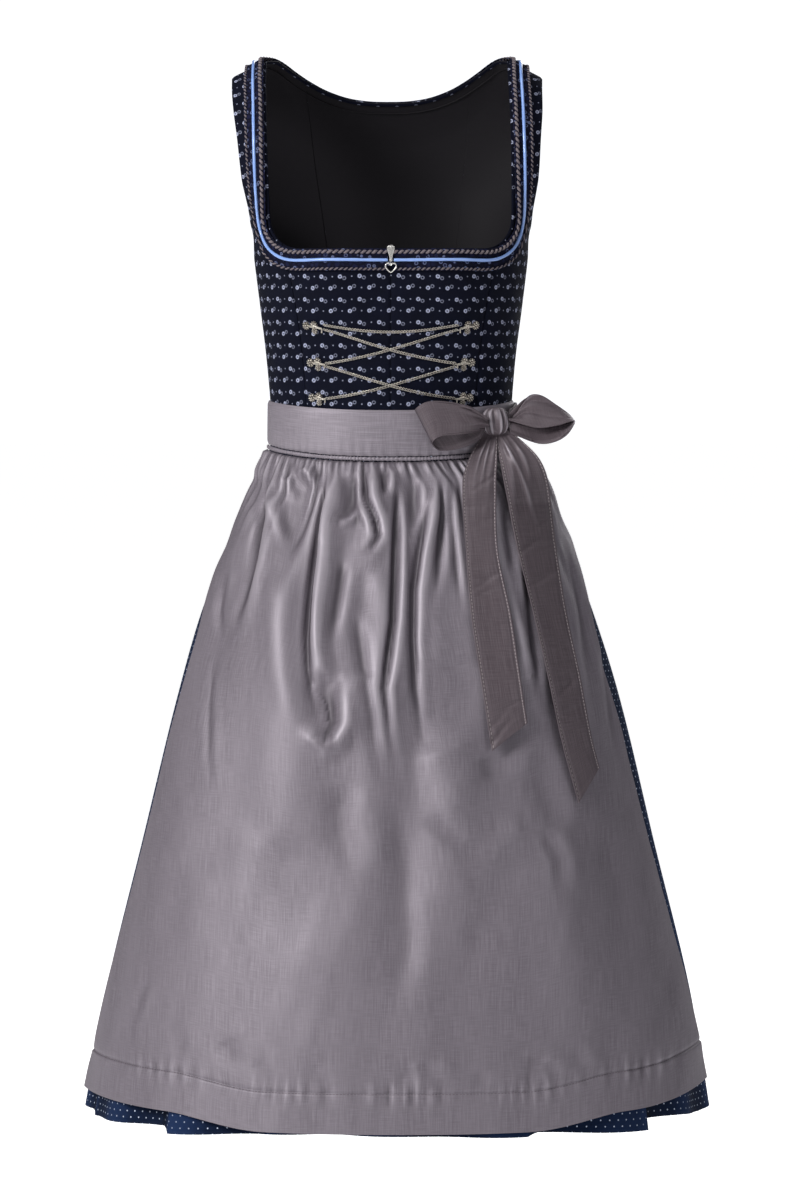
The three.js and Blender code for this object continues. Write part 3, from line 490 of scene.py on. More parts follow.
# %% the apron's satin
def stitches(n, along, across, at, wide):
    """1 on short stitches in a line that runs at one distance."""
    off = n.size(n.less(across, at))
    row = n.less(1.0, n.step(off, wide * 0.5, wide))
    beat = n.wrap(along, 3.4)
    return n.times(row, n.step(beat, 1.1, 1.5))


def satin_weave(name, dark, mid, thread, seam=None):
    """seam is (0 for across or 1 for up, its distance in mm, its thread colour)."""
    n, place = group(name, ["Color"], ["Height", "Roughness"])
    cloud = n.noise(n.stretch(place, 0.02, 0.004), 1.0, 2.0)
    cloth = n.blend(n.step(cloud, 0.3, 0.7), dark, mid)
    threads = n.noise(n.stretch(place, 1.15, 0.035), 1.0, 2.0)
    across = n.noise(n.stretch(place, 0.06, 1.25), 1.0, 2.0)
    both = n.add(n.times(threads, 0.62), n.times(across, 0.38))
    cloth = n.blend(n.step(both, 0.36, 0.66), cloth, thread)
    height = both
    if seam:
        across_cloth, up_cloth = n.split(place)
        axes = [n.size(across_cloth), up_cloth]
        line = stitches(n, axes[1 - seam[0]], axes[seam[0]], seam[1], 0.55)
        cloth = n.blend(n.times(line, 0.75), cloth, seam[2])
        height = n.less(both, n.times(line, 0.6))
    return n.give(Color=cloth, Height=height, Roughness=n.span(cloud, 0.5, 0.57))


# %% yarn, ruching and old silver
def yarn(name, dark, light):
    n, place = group(name, ["Color"], ["Height"])
    fine = n.noise(place, 1.6, 3.0, 0.6)
    return n.give(Color=n.blend(n.step(fine, 0.35, 0.7), dark, light), Height=fine)


def band_print():
    n, place = group("band print", ["Color"], ["Height"])
    cells = {"Vector": place, "Scale": 0.2}
    small = n.put("ShaderNodeTexVoronoi", cells, feature="DISTANCE_TO_EDGE")
    cell = n.put("ShaderNodeTexVoronoi", cells)
    far = cell.outputs["Distance"]
    loop = n.less(n.step(far, 0.2, 0.28), n.step(far, 0.34, 0.42))
    some = n.step(cell.outputs["Color"], 0.45, 0.6)
    mask = n.times(n.times(loop, some), 0.5)
    edge = n.step(small.outputs["Distance"], 0.0, 0.3)
    cloth = n.blend(edge, tone(10, 11, 27), tone(22, 25, 52))
    return n.give(Color=n.blend(mask, cloth, tone(130, 140, 178)), Height=plain_weave(n, place, 0.45))


def old_silver():
    n, place = group("old silver", ["Color"], ["Roughness"])
    spots = n.noise(place, 0.9, 4.0)
    metal = n.blend(n.step(spots, 0.35, 0.7), tone(168, 160, 150), tone(232, 226, 216))
    return n.give(Color=metal, Roughness=n.span(spots, 0.22, 0.42))


SATIN_TONES = (tone(106, 99, 108), tone(117, 110, 119), tone(129, 122, 131))
RIBBON_TONES = (tone(80, 70, 76), tone(90, 80, 86), tone(101, 91, 97))
GROUPS = {
    "ring print": ring_print(),
    "pin dots": pin_dots(),
    "satin weave": satin_weave("satin weave", tone(116, 109, 118), tone(130, 123, 132), tone(143, 136, 145)),
    "hemmed satin": satin_weave("hemmed satin", *SATIN_TONES, (1, 38.6, tone(70, 62, 68))),
    "ribbon weave": satin_weave("ribbon weave", *RIBBON_TONES),
    "edged ribbon": satin_weave("edged ribbon", *RIBBON_TONES, (0, 16.2, tone(168, 158, 160))),
    "yarn": yarn("yarn", tone(90, 82, 88), tone(146, 136, 138)),
    "dark yarn": yarn("dark yarn", tone(14, 15, 30), tone(40, 40, 56)),
    "band print": band_print(),
    "old silver": old_silver(),
}


# %% [markdown]
# ## Materials
# Cotton is dull and scatters light. Satin taffeta has a broad soft gloss, and its two thread colours show
# where it turns from the light. A little metallic gives that gloss its own colour. Folds are given painted
# shade and painted highlight by a value on each point: painted shade in the troughs and a painted
# highlight on the crests, so that the shallow modelled folds look deeper.

# %% materials
def material(name, shader_group=None, bump=0.0, uv=True, folds=None, **constants):
    """A Principled material that takes its colour and height from one group.
    folds: the colour of the painted shade in the depth of a fold and of the painted highlight on its crest."""
    made = bpy.data.materials.new(name)
    made.use_nodes = True
    n = Nodes(made.node_tree)
    shader = made.node_tree.nodes["Principled BSDF"]
    for socket, value in constants.items():
        shader.inputs[socket.replace("_", " ")].default_value = value
    if shader_group:
        coordinates = n.put("ShaderNodeTexCoord")
        place = coordinates.outputs["UV"]
        if not uv:
            place = n.stretch(coordinates.outputs["Object"], 1000.0, 1000.0, 1000.0)
        used = n.put("ShaderNodeGroup", node_tree=GROUPS[shader_group])
        made.node_tree.links.new(place, used.inputs["Vector"])
        colour = used.outputs["Color"]
        if folds:
            # Painted shade: the colour darkens towards folds[0] where the fold depth is deep. Painted highlight:
            # it pales towards folds[1] on the crests.
            depth = n.put("ShaderNodeAttribute", attribute_name="fold depth").outputs["Fac"]
            colour = n.blend(n.times(n.step(depth, 0.5, 1.0), 0.8), colour, folds[0])
            colour = n.blend(n.times(n.step(depth, 0.5, 0.0), 0.55), colour, folds[1])
        made.node_tree.links.new(colour, shader.inputs["Base Color"])
        if "Roughness" in used.outputs:
            made.node_tree.links.new(used.outputs["Roughness"], shader.inputs["Roughness"])
        if bump:
            raised = {"Strength": bump, "Distance": 0.0004, "Height": used.outputs["Height"]}
            bumped = n.put("ShaderNodeBump", raised).outputs["Normal"]
            made.node_tree.links.new(bumped, shader.inputs["Normal"])
    return made


# Painted shade for the depth of a fold, and painted highlight for its crest.
SATIN_FOLD_SHADE_AND_HIGHLIGHT = (tone(58, 52, 60), tone(178, 171, 180))
COTTON_FOLD_SHADE_AND_HIGHLIGHT = (tone(2, 7, 18), tone(36, 56, 96))
COTTON = {"Roughness": 0.85, "Specular_IOR_Level": 0.12}
SATIN = {"Metallic": 0.28, "Specular_IOR_Level": 0.5}
print_cotton = material("print cotton", "ring print", 0.25, **COTTON)
skirt_cotton = material("dotted cotton", "pin dots", 0.3, folds=COTTON_FOLD_SHADE_AND_HIGHLIGHT, **COTTON)
satin = material("band satin", "satin weave", 0.3, folds=SATIN_FOLD_SHADE_AND_HIGHLIGHT, **SATIN)
apron_satin = material("apron satin", "hemmed satin", 0.3, folds=SATIN_FOLD_SHADE_AND_HIGHLIGHT, **SATIN)
ribbon = material("ribbon satin", "ribbon weave", 0.3, folds=SATIN_FOLD_SHADE_AND_HIGHLIGHT, **SATIN)
edged_ribbon = material("edged ribbon satin", "edged ribbon", 0.3, folds=SATIN_FOLD_SHADE_AND_HIGHLIGHT, **SATIN)
trim_cloth = material("trim cloth", "band print", 0.25, **COTTON)
braid_yarn = material("braid yarn", "yarn", 0.5, **COTTON)
dark_yarn = material("dark braid yarn", "dark yarn", 0.5, **COTTON)
piping_satin = material(
    "piping satin", Base_Color=tone(134, 168, 232), Roughness=0.3, Specular_IOR_Level=0.8, Coat_Weight=0.5
)
lining_cloth = material(
    "lining cloth", Base_Color=tone(15, 12, 18), Roughness=0.75, Sheen_Weight=0.02, Specular_IOR_Level=0.25
)
silver = material("old silver", "old silver", uv=False, Metallic=0.85)
dark_silver = material("darker dish silver", Base_Color=tone(52, 46, 42), Metallic=0.8, Roughness=0.5)
bright_silver = material("bright silver", Base_Color=tone(232, 230, 226), Metallic=0.75, Roughness=0.22)
print("materials:", len(bpy.data.materials))

# %% [markdown]
# ## Cloth from a grid
# Real cloth is cut flat and then bent, so each piece starts as a flat grid that is laid over its form.
# The grid's map holds the place on the flat cloth in millimetres, for the weave to follow. A Solidify
# modifier then gives the wall, which keeps both faces alike and the edges closed.

# %% cloth tools
# How thick the cloths are made.
PANEL_WALL, LINING_WALL, SKIRT_WALL, APRON_WALL, RIBBON_WALL, TAPE_WALL = 1.2, 0.8, 1.0, 0.8, 1.0, 0.5


def even(count, fine=()):
    """Even steps from 0 to 1, with extra ones at the given places."""
    return np.unique(np.concatenate([np.linspace(0, 1, count + 1), np.asarray(fine, float)]))


def edged(count, width, *places):
    """Even steps with close ones by both edges of a piece width mm wide."""
    close = np.array([0.5, 1.2, 2.2, 3.6]) / width
    return even(count, [*close, *(1 - close), *places])


def measured(points):
    """Distances in mm along a grid of points: across from the middle, and up from the foot."""
    across = np.linalg.norm(np.diff(points, axis=1), axis=2)
    across = np.concatenate([np.zeros((len(points), 1)), np.cumsum(across, axis=1)], axis=1)
    up = np.linalg.norm(np.diff(points, axis=0), axis=2)
    up = np.concatenate([np.zeros((1, points.shape[1])), np.cumsum(up, axis=0)], axis=0)
    return np.stack([across - across[:, -1:] / 2, up], axis=-1)


def flat_size(points):
    """Width and length in metres of the piece laid flat, and its area."""
    place = measured(points)
    width = float(np.ptp(place[..., 0], axis=1).max())
    length = float(place[-1, :, 1].max())
    a, b, c, d = points[:-1, :-1], points[:-1, 1:], points[1:, 1:], points[1:, :-1]
    area = np.linalg.norm(np.cross(c - a, d - b), axis=-1).sum() / 2
    return (width * MM, length * MM), float(area) * MM * MM


def finish_mesh(bm, name, materials):
    for face in bm.faces:
        face.smooth = True
    mesh = bpy.data.meshes.new(name)
    bm.to_mesh(mesh)
    bm.free()
    obj = bpy.data.objects.new(name, mesh)
    bpy.context.scene.collection.objects.link(obj)
    for made in materials:
        mesh.materials.append(made)
    return obj


def fold_depths(points, *scales):
    """0 on a crest, 1 in the depth of a fold and 0.5 between: how far each place lies behind its neighbours
    in its row. Each scale is the reach of the neighbours and the depth that counts as full, in mm."""
    pitch = max(float(np.median(np.linalg.norm(np.diff(points, axis=1), axis=2))), 0.3)
    total = 0
    for reach, full in scales:
        steps = max(2, int(round(reach / pitch)))
        kernel = np.hanning(2 * steps + 3)[1:-1]
        padded = np.pad(points, ((0, 0), (steps, steps), (0, 0)), mode="reflect", reflect_type="odd")
        mean = sum(kernel[k] * padded[:, k:k + points.shape[1]] for k in range(2 * steps + 1)) / kernel.sum()
        normal = unit(np.cross(np.gradient(mean, axis=1), np.gradient(mean, axis=0)))
        total = total + 0.5 * ((mean - points) * normal).sum(-1) / full
    return np.clip(0.5 + total, 0, 1)


def laid(name, points, materials, flat=None, folds=None):
    """A grid whose rows and columns take these places, in mm. folds: how wide and deep its folds are."""
    rows, columns = points.shape[0] - 1, points.shape[1] - 1
    bm = bmesh.new()
    bmesh.ops.create_grid(bm, x_segments=columns, y_segments=rows, size=1.0, calc_uvs=True)
    obj = finish_mesh(bm, name, materials)
    mesh = obj.data
    co = np.empty(len(mesh.vertices) * 3)
    mesh.vertices.foreach_get("co", co)
    co = co.reshape(-1, 3)
    i = np.rint((co[:, 0] - co[:, 0].min()) / np.ptp(co[:, 0]) * columns).astype(int)
    j = np.rint((co[:, 1] - co[:, 1].min()) / np.ptp(co[:, 1]) * rows).astype(int)
    mesh.vertices.foreach_set("co", (points[j, i] * MM).ravel())
    flat = measured(points) if flat is None else flat
    corner = np.empty(len(mesh.loops), dtype=int)
    mesh.loops.foreach_get("vertex_index", corner)
    layer = mesh.uv_layers[0] if mesh.uv_layers else mesh.uv_layers.new(name="flat")
    layer.data.foreach_set("uv", flat[j[corner], i[corner]].ravel())
    # The fold depth of each point sets the painted shade and painted highlight of materials made with folds.
    depth = fold_depths(points, *folds)[j, i] if folds else np.full(len(i), 0.5)
    mesh.attributes.new("fold depth", "FLOAT", "POINT").data.foreach_set("value", depth.astype(np.float32))
    mesh.update()
    return obj


def thicken(obj, thickness, inside=False, offset=-1.0):
    """Gives the grid its cloth thickness, inwards or, at offset 0, to both sides.
    inside: the inner face takes the grid's second material."""
    shell = obj.modifiers.new("cloth", "SOLIDIFY")
    shell.thickness = thickness * MM
    shell.offset = offset
    shell.use_even_offset = False
    shell.use_rim = True
    if inside:
        shell.material_offset = 1


def settle(obj, slot, *nodes, body="dress"):
    """The piece rides its body and stands for the plain solids. Its slot is not used."""
    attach(obj, body)
    if nodes:
        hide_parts(*nodes)


sheets_cut = []


def cut_sheet(obj, points):
    """States the size that the cloth is cut to, and its area."""
    flat, area = flat_size(points)
    sheets_cut.append((obj.name, round(flat[0] * 1000), round(flat[1] * 1000), round(area, 4)))


def sew(name, points, materials, thickness, slot, nodes, held, rests_on, flat=None, folds=None, **shell):
    """One piece of cloth, from its places to its declared cut."""
    obj = laid(name, points, materials, flat, folds)
    thicken(obj, thickness, **shell)
    settle(obj, slot, *nodes)
    cut_sheet(obj, points)
    return obj


def row_noise(seed, u, v, scale_u, scale_v):
    """Soft waves of several lengths that never repeat evenly."""
    turn = np.random.default_rng(seed)
    total = 0 * (u + v)
    for k in range(5):
        a, b, c = turn.uniform(0.6, 1.6, 3)
        total = total + np.sin(a * u / scale_u * (1 + k * 0.7) + b * v / scale_v + 6.28 * c) / (1 + k)
    return total / 2.2


def close_seams(obj):
    """Joins the meeting edges of a wrapped grid and fills its open ends."""
    bm = bmesh.new()
    bm.from_mesh(obj.data)
    bmesh.ops.remove_doubles(bm, verts=bm.verts, dist=1e-7)
    open_edges = [edge for edge in bm.edges if edge.is_boundary]
    if open_edges:
        bmesh.ops.holes_fill(bm, edges=open_edges, sides=0)
    bmesh.ops.recalc_face_normals(bm, faces=bm.faces)
    for face in bm.faces:
        face.smooth = True
    bm.to_mesh(obj.data)
    bm.free()
    return obj


def rings_along(points, radii, sides=8, closed=False, up=(0.0, -1.0, 0.0), flat=1.0):
    """Rings of points round a line. flat squeezes them along up."""
    points = np.asarray(points, float)
    radii = np.broadcast_to(radii, len(points))
    if closed:
        along = unit(np.roll(points, -1, 0) - np.roll(points, 1, 0))
    else:
        along = unit(np.gradient(points, axis=0))
    up = np.broadcast_to(np.asarray(up, float), points.shape)
    out = unit(up - (along * up).sum(-1, keepdims=True) * along)
    side = np.cross(along, out)
    turn = np.linspace(0, -2 * math.pi, sides + 1)[None, :, None]
    rim = np.cos(turn) * side[:, None] + np.sin(turn) * out[:, None] * flat
    rings = points[:, None] + rim * radii[:, None, None]
    return np.concatenate([rings, rings[:1]]) if closed else rings


def tube(name, points, radii, materials, **shape):
    """A round strand along a line of points in mm."""
    return close_seams(laid(name, rings_along(points, radii, **shape), materials))


def joined(name, parts):
    """Several meshes as one object."""
    for obj in bpy.context.selected_objects:
        obj.select_set(False)
    for obj in parts:
        obj.select_set(True)
    bpy.context.view_layer.objects.active = parts[0]
    bpy.ops.object.join()
    parts[0].name = name
    return parts[0]

# %% [markdown]
# ## The skirt
# Three panels of dotted cotton, gathered finely into the waist and falling in uneven pleats. A turned hem
# ends them. One grid to a panel leaves real seams between them. Where two panels meet, one edge is tucked
# under the other, as an overlapped seam is, so that no light shows through.

# %% skirt panels
HEM_TURN = 30
TUCK = 2.4  # a panel's edge goes this far under the next one

# Where the pleats of the front hang longer or shorter: degrees and mm, with steps at folded edges.
HEM_STEPS = np.array([
    (-90, 0), (-73, 0), (-71.8, 5), (-56, 3), (-43, 0), (-41.2, 7), (-30, 4), (-22, 1), (-8, 0), (4, 2),
    (21, 4), (22.3, 0), (36, 4), (48.5, 7), (50, -4), (62, -2), (74, 3), (90, 0),
], float)


def uneven_hem(angle):
    return skirt_hem(angle) + np.interp(np.degrees(angle), HEM_STEPS[:, 0], HEM_STEPS[:, 1], left=0, right=0)


def skirt_lift(angle, drop):
    """Gathers at the waist and the double cloth of the hem."""
    fall = np.maximum(drop - flare_start(angle), 0)
    girth = 112 * angle
    fine = np.sin(girth / 1.45 + 2.1 * np.sin(girth / 23) + 0.7 * np.sin(girth / 7.3))
    length = 34 + 16 * np.sin(girth / 11 + 1.3)
    behind = smooth(math.radians(80), math.radians(92), np.abs(np.mod(angle + math.pi, 2 * math.pi) - math.pi))
    gathers = behind * 1.25 * fine * np.exp(-fall / length)
    to_hem = uneven_hem(angle) - drop
    turned = 0.7 * smooth(HEM_TURN + 1, HEM_TURN - 1, to_hem)
    stitch = -0.9 * hump(to_hem - HEM_TURN, 1.3)
    soft = 1.6 * row_noise(5, girth, drop, 26, 150) * smooth(60, 260, drop)
    edges = uneven_hem(angle) - skirt_hem(angle)
    return gathers + turned + stitch + behind * soft + 0.7 * edges * smooth(420, 650, drop)


def skirt_panel(name, start, end, columns, rows, tucked=(0, 0)):
    """tucked: which of its two sides is turned in under the next panel."""
    low, high = math.radians(start), math.radians(end)
    lip = np.array([0.009, 0.0115, 0.0125, 0.0145]) / (high - low)
    u = edged(columns, 900, *(lip * tucked[0]), *(1 - lip * tucked[1]))
    hem_rows = 1 - np.array([31.5, 30.6, 29.9, 29.2, 28.2, 3.0, 1.2, 0.4]) / SKIRT_LENGTH
    v = even(rows, hem_rows)[::-1]
    angle = mix(low + mix(0.0012, -0.012, tucked[0]), high - mix(0.0012, -0.012, tucked[1]), u)[None, :]
    angle, share = np.broadcast_arrays(angle, v[:, None])
    drop = mix(0.15, uneven_hem(angle), share)
    under = tucked[0] * smooth(low + 0.001, low - 0.002, angle)
    under = under + tucked[1] * smooth(high - 0.001, high + 0.002, angle)
    points = hanging(skirt_surface, angle, drop, skirt_lift(angle, drop) - TUCK * under)
    held_by = ["waist_tie"] if "back" in name else ["apron_waistband"]
    return sew("cloth_" + name, points, [skirt_cotton, lining_cloth], SKIRT_WALL, "dotted_cotton", [name],
               "gathered", held_by, folds=[(34, 5), (5, 1.6)])


skirt_panels = [
    skirt_panel("skirt_front", -90, 90, 150, 80, (1, 1)),
    skirt_panel("skirt_back_left", 90, 180, 130, 100, (0, 1)),
    skirt_panel("skirt_back_right", 180, 270, 130, 100),
]
print("skirt faces:", sum(len(panel.data.polygons) for panel in skirt_panels))

# %% [markdown]
# ## The apron
# One satin sheet, drawn up on a cord at the waist, so it is full of short gathers there and falls in a few
# long creases. Noise alone would make them all alike, and a simulation would put them elsewhere.
# The larger folds are in the form, and the creases below are listed one by one:
# each is a line of places (mm from the centre line, mm below the waist seam), a width and a depth.
# A negative depth stands up as a ridge.

# %% apron creases
CREASES = [
    ([(-119, 18), (-125, 45), (-128, 75), (-134, 113), (-143, 152), (-155, 191), (-164, 201)], 3.2, 3.6),
    ([(-162, 116), (-168, 163), (-165, 199)], 3.5, 1.8),
    ([(-172, 207), (-176, 250), (-176, 307), (-173, 345)], 2.6, 1.0),
    ([(-92, 25), (-93, 64), (-96, 98), (-95, 118)], 11, 4.2),
    ([(-103, 29), (-100, 44), (-95, 57)], 4, -2.6),
    ([(-85, 21), (-78, 38)], 3.2, -2.4),
    ([(-121, 35), (-112, 79), (-101, 112)], 3, -1.6),
    ([(-134, 26), (-135, 56), (-128, 84)], 5, 2.6),
    ([(-68, 18), (-66, 54), (-72, 92), (-77, 140), (-80, 188), (-79, 236), (-71, 282)], 3, 4.4),
    ([(-56, 24), (-59, 73), (-62, 121), (-67, 159), (-68, 198), (-59, 236), (-42, 266)], 4, -2.2),
    ([(-47, 111), (-52, 150), (-58, 193)], 4, 1.8),
    ([(-80, 263), (-75, 284), (-64, 292), (-51, 286), (-43, 269), (-45, 245), (-51, 212)], 6, -3.4),
    ([(-65, 217), (-64, 245), (-62, 282)], 11, 4.2),
    ([(-106, 112), (-109, 170), (-104, 227), (-92, 275), (-77, 293)], 9, -2.2),
    ([(-39, 28), (-39, 53), (-46, 77)], 7, 4.0),
    ([(-52, 80), (-40, 74), (-27, 64)], 3, -1.8),
    ([(-28, 20), (-24, 53), (-16, 73), (-13, 87), (-20, 101), (-34, 108)], 2.4, 3.4),
    ([(-33, 28), (-29, 58), (-21, 75), (-18, 89), (-28, 99)], 3, -2.4),
    ([(-6, 20), (-7, 53)], 3, 2.4),
    ([(6, 17), (5, 73), (3, 130), (1, 169), (-3, 197), (-8, 235), (-4, 274), (6, 335)], 2.8, 3.8),
    ([(-40, 150), (-32, 188), (-24, 235), (-16, 293), (-8, 340)], 5, 2.2),
    ([(-32, 111), (-24, 188), (-18, 255)], 12, 2.2),
    ([(-15, 111), (-9, 169), (-10, 216)], 6, -1.4),
    ([(13, 73), (14, 149), (11, 226), (17, 302)], 6, -1.6),
    ([(23, 22), (21, 53), (24, 94)], 7, 4.0),
    ([(40, 22), (37, 53), (30, 92), (22, 140), (21, 188), (23, 235), (31, 302)], 3, 2.8),
    ([(45, 30), (41, 73), (33, 111), (29, 159)], 4, -1.8),
    ([(50, 22), (49, 73), (46, 121), (41, 164)], 2.8, 1.8),
    ([(59, 22), (60, 73), (64, 121), (70, 174)], 2.8, 1.8),
    ([(67, 28), (70, 73), (74, 111), (79, 164)], 3, 2.2),
    ([(108, 37), (114, 93), (121, 141), (131, 189), (143, 242)], 4, 3.2),
    ([(116, 107), (125, 170), (137, 233)], 4, -2.2),
    ([(128, 108), (135, 170), (142, 228), (147, 259)], 3, 2.6),
    ([(166, 51), (177, 116), (188, 174), (197, 232), (208, 295)], 3.2, 2.2),
    ([(172, 91), (182, 154), (194, 217)], 4, -1.8),
    ([(209, 196), (218, 254), (227, 317)], 3, 1.6),
    ([(60, 202), (64, 245), (77, 272)], 17, 3.6),
    ([(45, 278), (62, 331), (79, 374)], 22, -3.4),
    ([(98, 295), (105, 327)], 10, 2.8),
    ([(146, 286), (153, 343), (171, 392)], 9, 1.8),
    ([(-54, 326), (-49, 369), (-37, 407), (-33, 425)], 9, 2.4),
    ([(1, 335), (8, 397), (11, 463), (11, 529), (8, 581)], 10, 3.0),
    ([(28, 416), (32, 491), (28, 567)], 9, -1.6),
    ([(88, 436), (77, 473), (69, 506), (64, 534)], 12, 3.0),
    ([(128, 356), (101, 389), (75, 429)], 8, -2.0),
    ([(32, 357), (67, 386), (103, 391)], 6, 1.8),
    ([(143, 369), (160, 401), (161, 443)], 5, 1.8),
    ([(-137, 362), (-147, 419), (-148, 495)], 12, -1.8),
    ([(-98, 370), (-88, 436), (-91, 511)], 16, 1.6),
    ([(-207, 406), (-215, 473), (-209, 538)], 12, 1.6),
    ([(205, 366), (225, 444), (236, 521)], 9, 1.8),
    ([(-235, 518), (-249, 553), (-260, 587)], 3.2, 1.8),
    ([(-215, 558), (-207, 576), (-197, 597)], 5, 1.8),
    ([(215, 549), (207, 574), (199, 598)], 9, 2.4),
    ([(258, 478), (274, 528), (282, 577)], 6, 1.6),
    ([(-167, 572), (-155, 586), (-145, 602)], 7, 2.6),
    ([(-131, 586), (-122, 601), (-113, 617)], 5, 2.4),
    ([(-76, 588), (-70, 616)], 6, 1.4),
    ([(17, 587), (12, 602), (5, 617)], 5, 2.8),
    ([(28, 585), (35, 602), (42, 618)], 6, 3.2),
    ([(82, 595), (86, 616)], 5, 1.6),
    ([(136, 580), (134, 599), (128, 616)], 6, 2.8),
    ([(150, 589), (156, 612)], 4, 2.0),
    ([(177, 577), (185, 608)], 5, 2.2),
]


def crease_lift(x, drop, line, width, depth):
    """A trough along a line of places, with a soft ridge on its right side."""
    places = np.array(line, float)
    best = np.full(x.shape, 1e9)
    side = np.zeros(x.shape)
    along = np.zeros(x.shape)
    lengths = np.linalg.norm(np.diff(places, axis=0), axis=1)
    done = np.concatenate([[0], np.cumsum(lengths)]) / lengths.sum()
    for k in range(len(places) - 1):
        (x0, d0), (x1, d1) = places[k], places[k + 1]
        ex, ed = x1 - x0, d1 - d0
        t = np.clip(((x - x0) * ex + (drop - d0) * ed) / (ex * ex + ed * ed), 0, 1)
        far = np.hypot(x - x0 - t * ex, drop - d0 - t * ed)
        near = far < best
        best = np.where(near, far, best)
        side = np.where(near, np.sign((x - x0) * ed - (drop - d0) * ex), side)
        along = np.where(near, mix(done[k], done[k + 1], t), along)
    reach = smooth(0, 0.22, along) * smooth(1, 0.55, along)
    trough = hump(best, width)
    ridge = 0.45 * hump(side * best - 2.1 * width, 1.3 * width)
    return -depth * reach * (trough - ridge)


def gather_lift(angle, drop):
    """Short, uneven gathers under the cord."""
    turn = np.random.default_rng(12)
    fall = np.maximum(drop - flare_start(angle) - 4.6, 0)
    girth = np.degrees(angle) * 2.05
    total = 3.4 * hump(fall, 40) * smooth(0, 3.5, fall)
    pinch = np.sin(girth / 0.62 + 1.9 * np.sin(girth / 6.1) + 1.1 * np.sin(girth / 2.3))
    total = total - 0.9 * (1 - pinch) * np.exp(-fall / 5.5) * smooth(0, 1.2, fall)
    place = -182.0
    while place < 182:
        width, depth = turn.uniform(1.3, 3.0), turn.uniform(2.0, 4.6)
        length, lean = turn.uniform(14, 54), turn.uniform(-0.14, 0.14)
        if turn.uniform() < 0.16:
            length *= 2.2
        across = (girth - place - lean * fall) / (width * (1 + fall / 60))
        total = total - depth * np.exp(-across * across) * np.exp(-((fall / length) ** 1.5))
        place += width * turn.uniform(2.0, 3.6)
    return total


def apron_lift(angle, drop):
    x = apron_surface(angle, drop)[..., 0]
    total = gather_lift(angle, drop)
    fall = drop - flare_start(angle)
    forward = smooth(math.radians(84), math.radians(50), np.abs(angle))
    total = total + 3.0 * forward * smooth(6, 60, fall) * (1 - smooth(110, 280, fall))
    total = total + broad_folds(x, drop)
    firm = mix(1.8, 0.5, smooth(230, 600, drop))
    for line, width, depth in CREASES:
        total = total + firm * crease_lift(x, drop, line, 1.45 * width, depth)
    loose = smooth(40, 220, drop)
    total = total + loose * 1.2 * row_noise(3, x, drop, 30, 150)
    total = total + loose * 0.4 * row_noise(8, x + 0.3 * drop, drop - 0.4 * x, 14, 80)
    to_hem = apron_foot(angle) - drop
    puckers = np.sin(x / 5.2 + 1.7 * np.sin(x / 31)) * (0.55 + 0.45 * np.sin(x / 47 + 2))
    near = hump(to_hem - APRON_HEM, 13)
    total = total + 0.7 * (puckers + np.sin(x / 2.1 + 2.3 * np.sin(x / 19)) * np.sin(x / 37 + 1)) * near
    total = total + 0.9 * smooth(APRON_HEM + 1.2, APRON_HEM - 0.6, to_hem)
    total = total - 1.2 * hump(to_hem - APRON_HEM - 0.4, 1.2)
    room = apron_out(drop - flare_start(angle)) - 1.5
    return np.where(total < 0, -room * np.tanh(-total / room), total)  # never through the skirt below


# %% apron sheet
def evenly_round(share):
    """Turns even shares of the apron's width into shares of its angle, so that columns are evenly far apart."""
    table = np.linspace(-1, 1, 400)
    line = hung(table * math.radians(77), np.full(400, 300.0), 0.0)
    length = np.concatenate([[0], np.cumsum(np.linalg.norm(np.diff(line, axis=0), axis=1))])
    return np.interp(share, 2 * length / length[-1] - 1, table)


u = edged(208, 1000)
v = even(196, 1 - np.array([40.5, 39.4, 38.6, 38.0, 37.3, 36.2, 2.4, 1.0, 0.4]) / 650)[::-1]
share_u, share_v = np.meshgrid(evenly_round(2 * u - 1), v)
apron_top = flare_start(share_u * math.radians(88)) + 4.9
apron_drop = mix(apron_top, apron_foot(share_u * math.radians(77)), share_v)
apron_angle = share_u * np.radians(apron_edge(apron_drop / APRON_LENGTH))
apron_points = hanging(apron_surface, apron_angle, apron_drop, apron_lift(apron_angle, apron_drop))
apron = sew("apron_sheet", apron_points, [apron_satin], APRON_WALL, "satin_taffeta",
            ["apron_skirt", "apron_hem"], "gathered", ["cloth_skirt_front"], folds=[(16, 3.4), (5, 1.5)])
print("apron faces:", len(apron.data.polygons))

# %% [markdown]
# ## The bodice
# Seven panels of printed cotton meet at shaped seams. Their edges roll in a little at each seam.
# The lining shows only inside the back. Narrow tapes cover the seams inside, as a maker would bind them.

# %% bodice panels
# Height above the waist seam, and distance from the centre line.
armhole = {
    False: curve([(219, 141.5), (240, 144.5), (266, 149), (310, 152), (352, 155), (428, 157)], 1),
    True: curve([(219, 141.5), (240, 144), (266, 147), (310, 150), (352, 153), (428, 157)], 1),
}
princess_front = curve(
    [(0, 84), (41, 85), (102, 90), (142, 96), (183, 104), (200, 108.6), (290, 122), (366, 122)], 1)
princess_back = curve([(0, 46), (41, 46), (102, 52), (142, 58), (183, 64), (200, 67), (290, 78), (366, 84)], 1)
FRONT_SEAM_TOP_X, BACK_SEAM_TOP_X, STRAP_END, SIDE_SEAM = 108.6, 84, 427.2, math.radians(89.9)
LINING_FOOT = 85.4  # the lining is modelled from here up


def front_neck_rise(x):
    into = np.clip(x - (NECK_HALF - NECK_CORNER), 0, NECK_CORNER)
    return NECK_LOW + NECK_CORNER - np.sqrt(NECK_CORNER**2 - into**2)


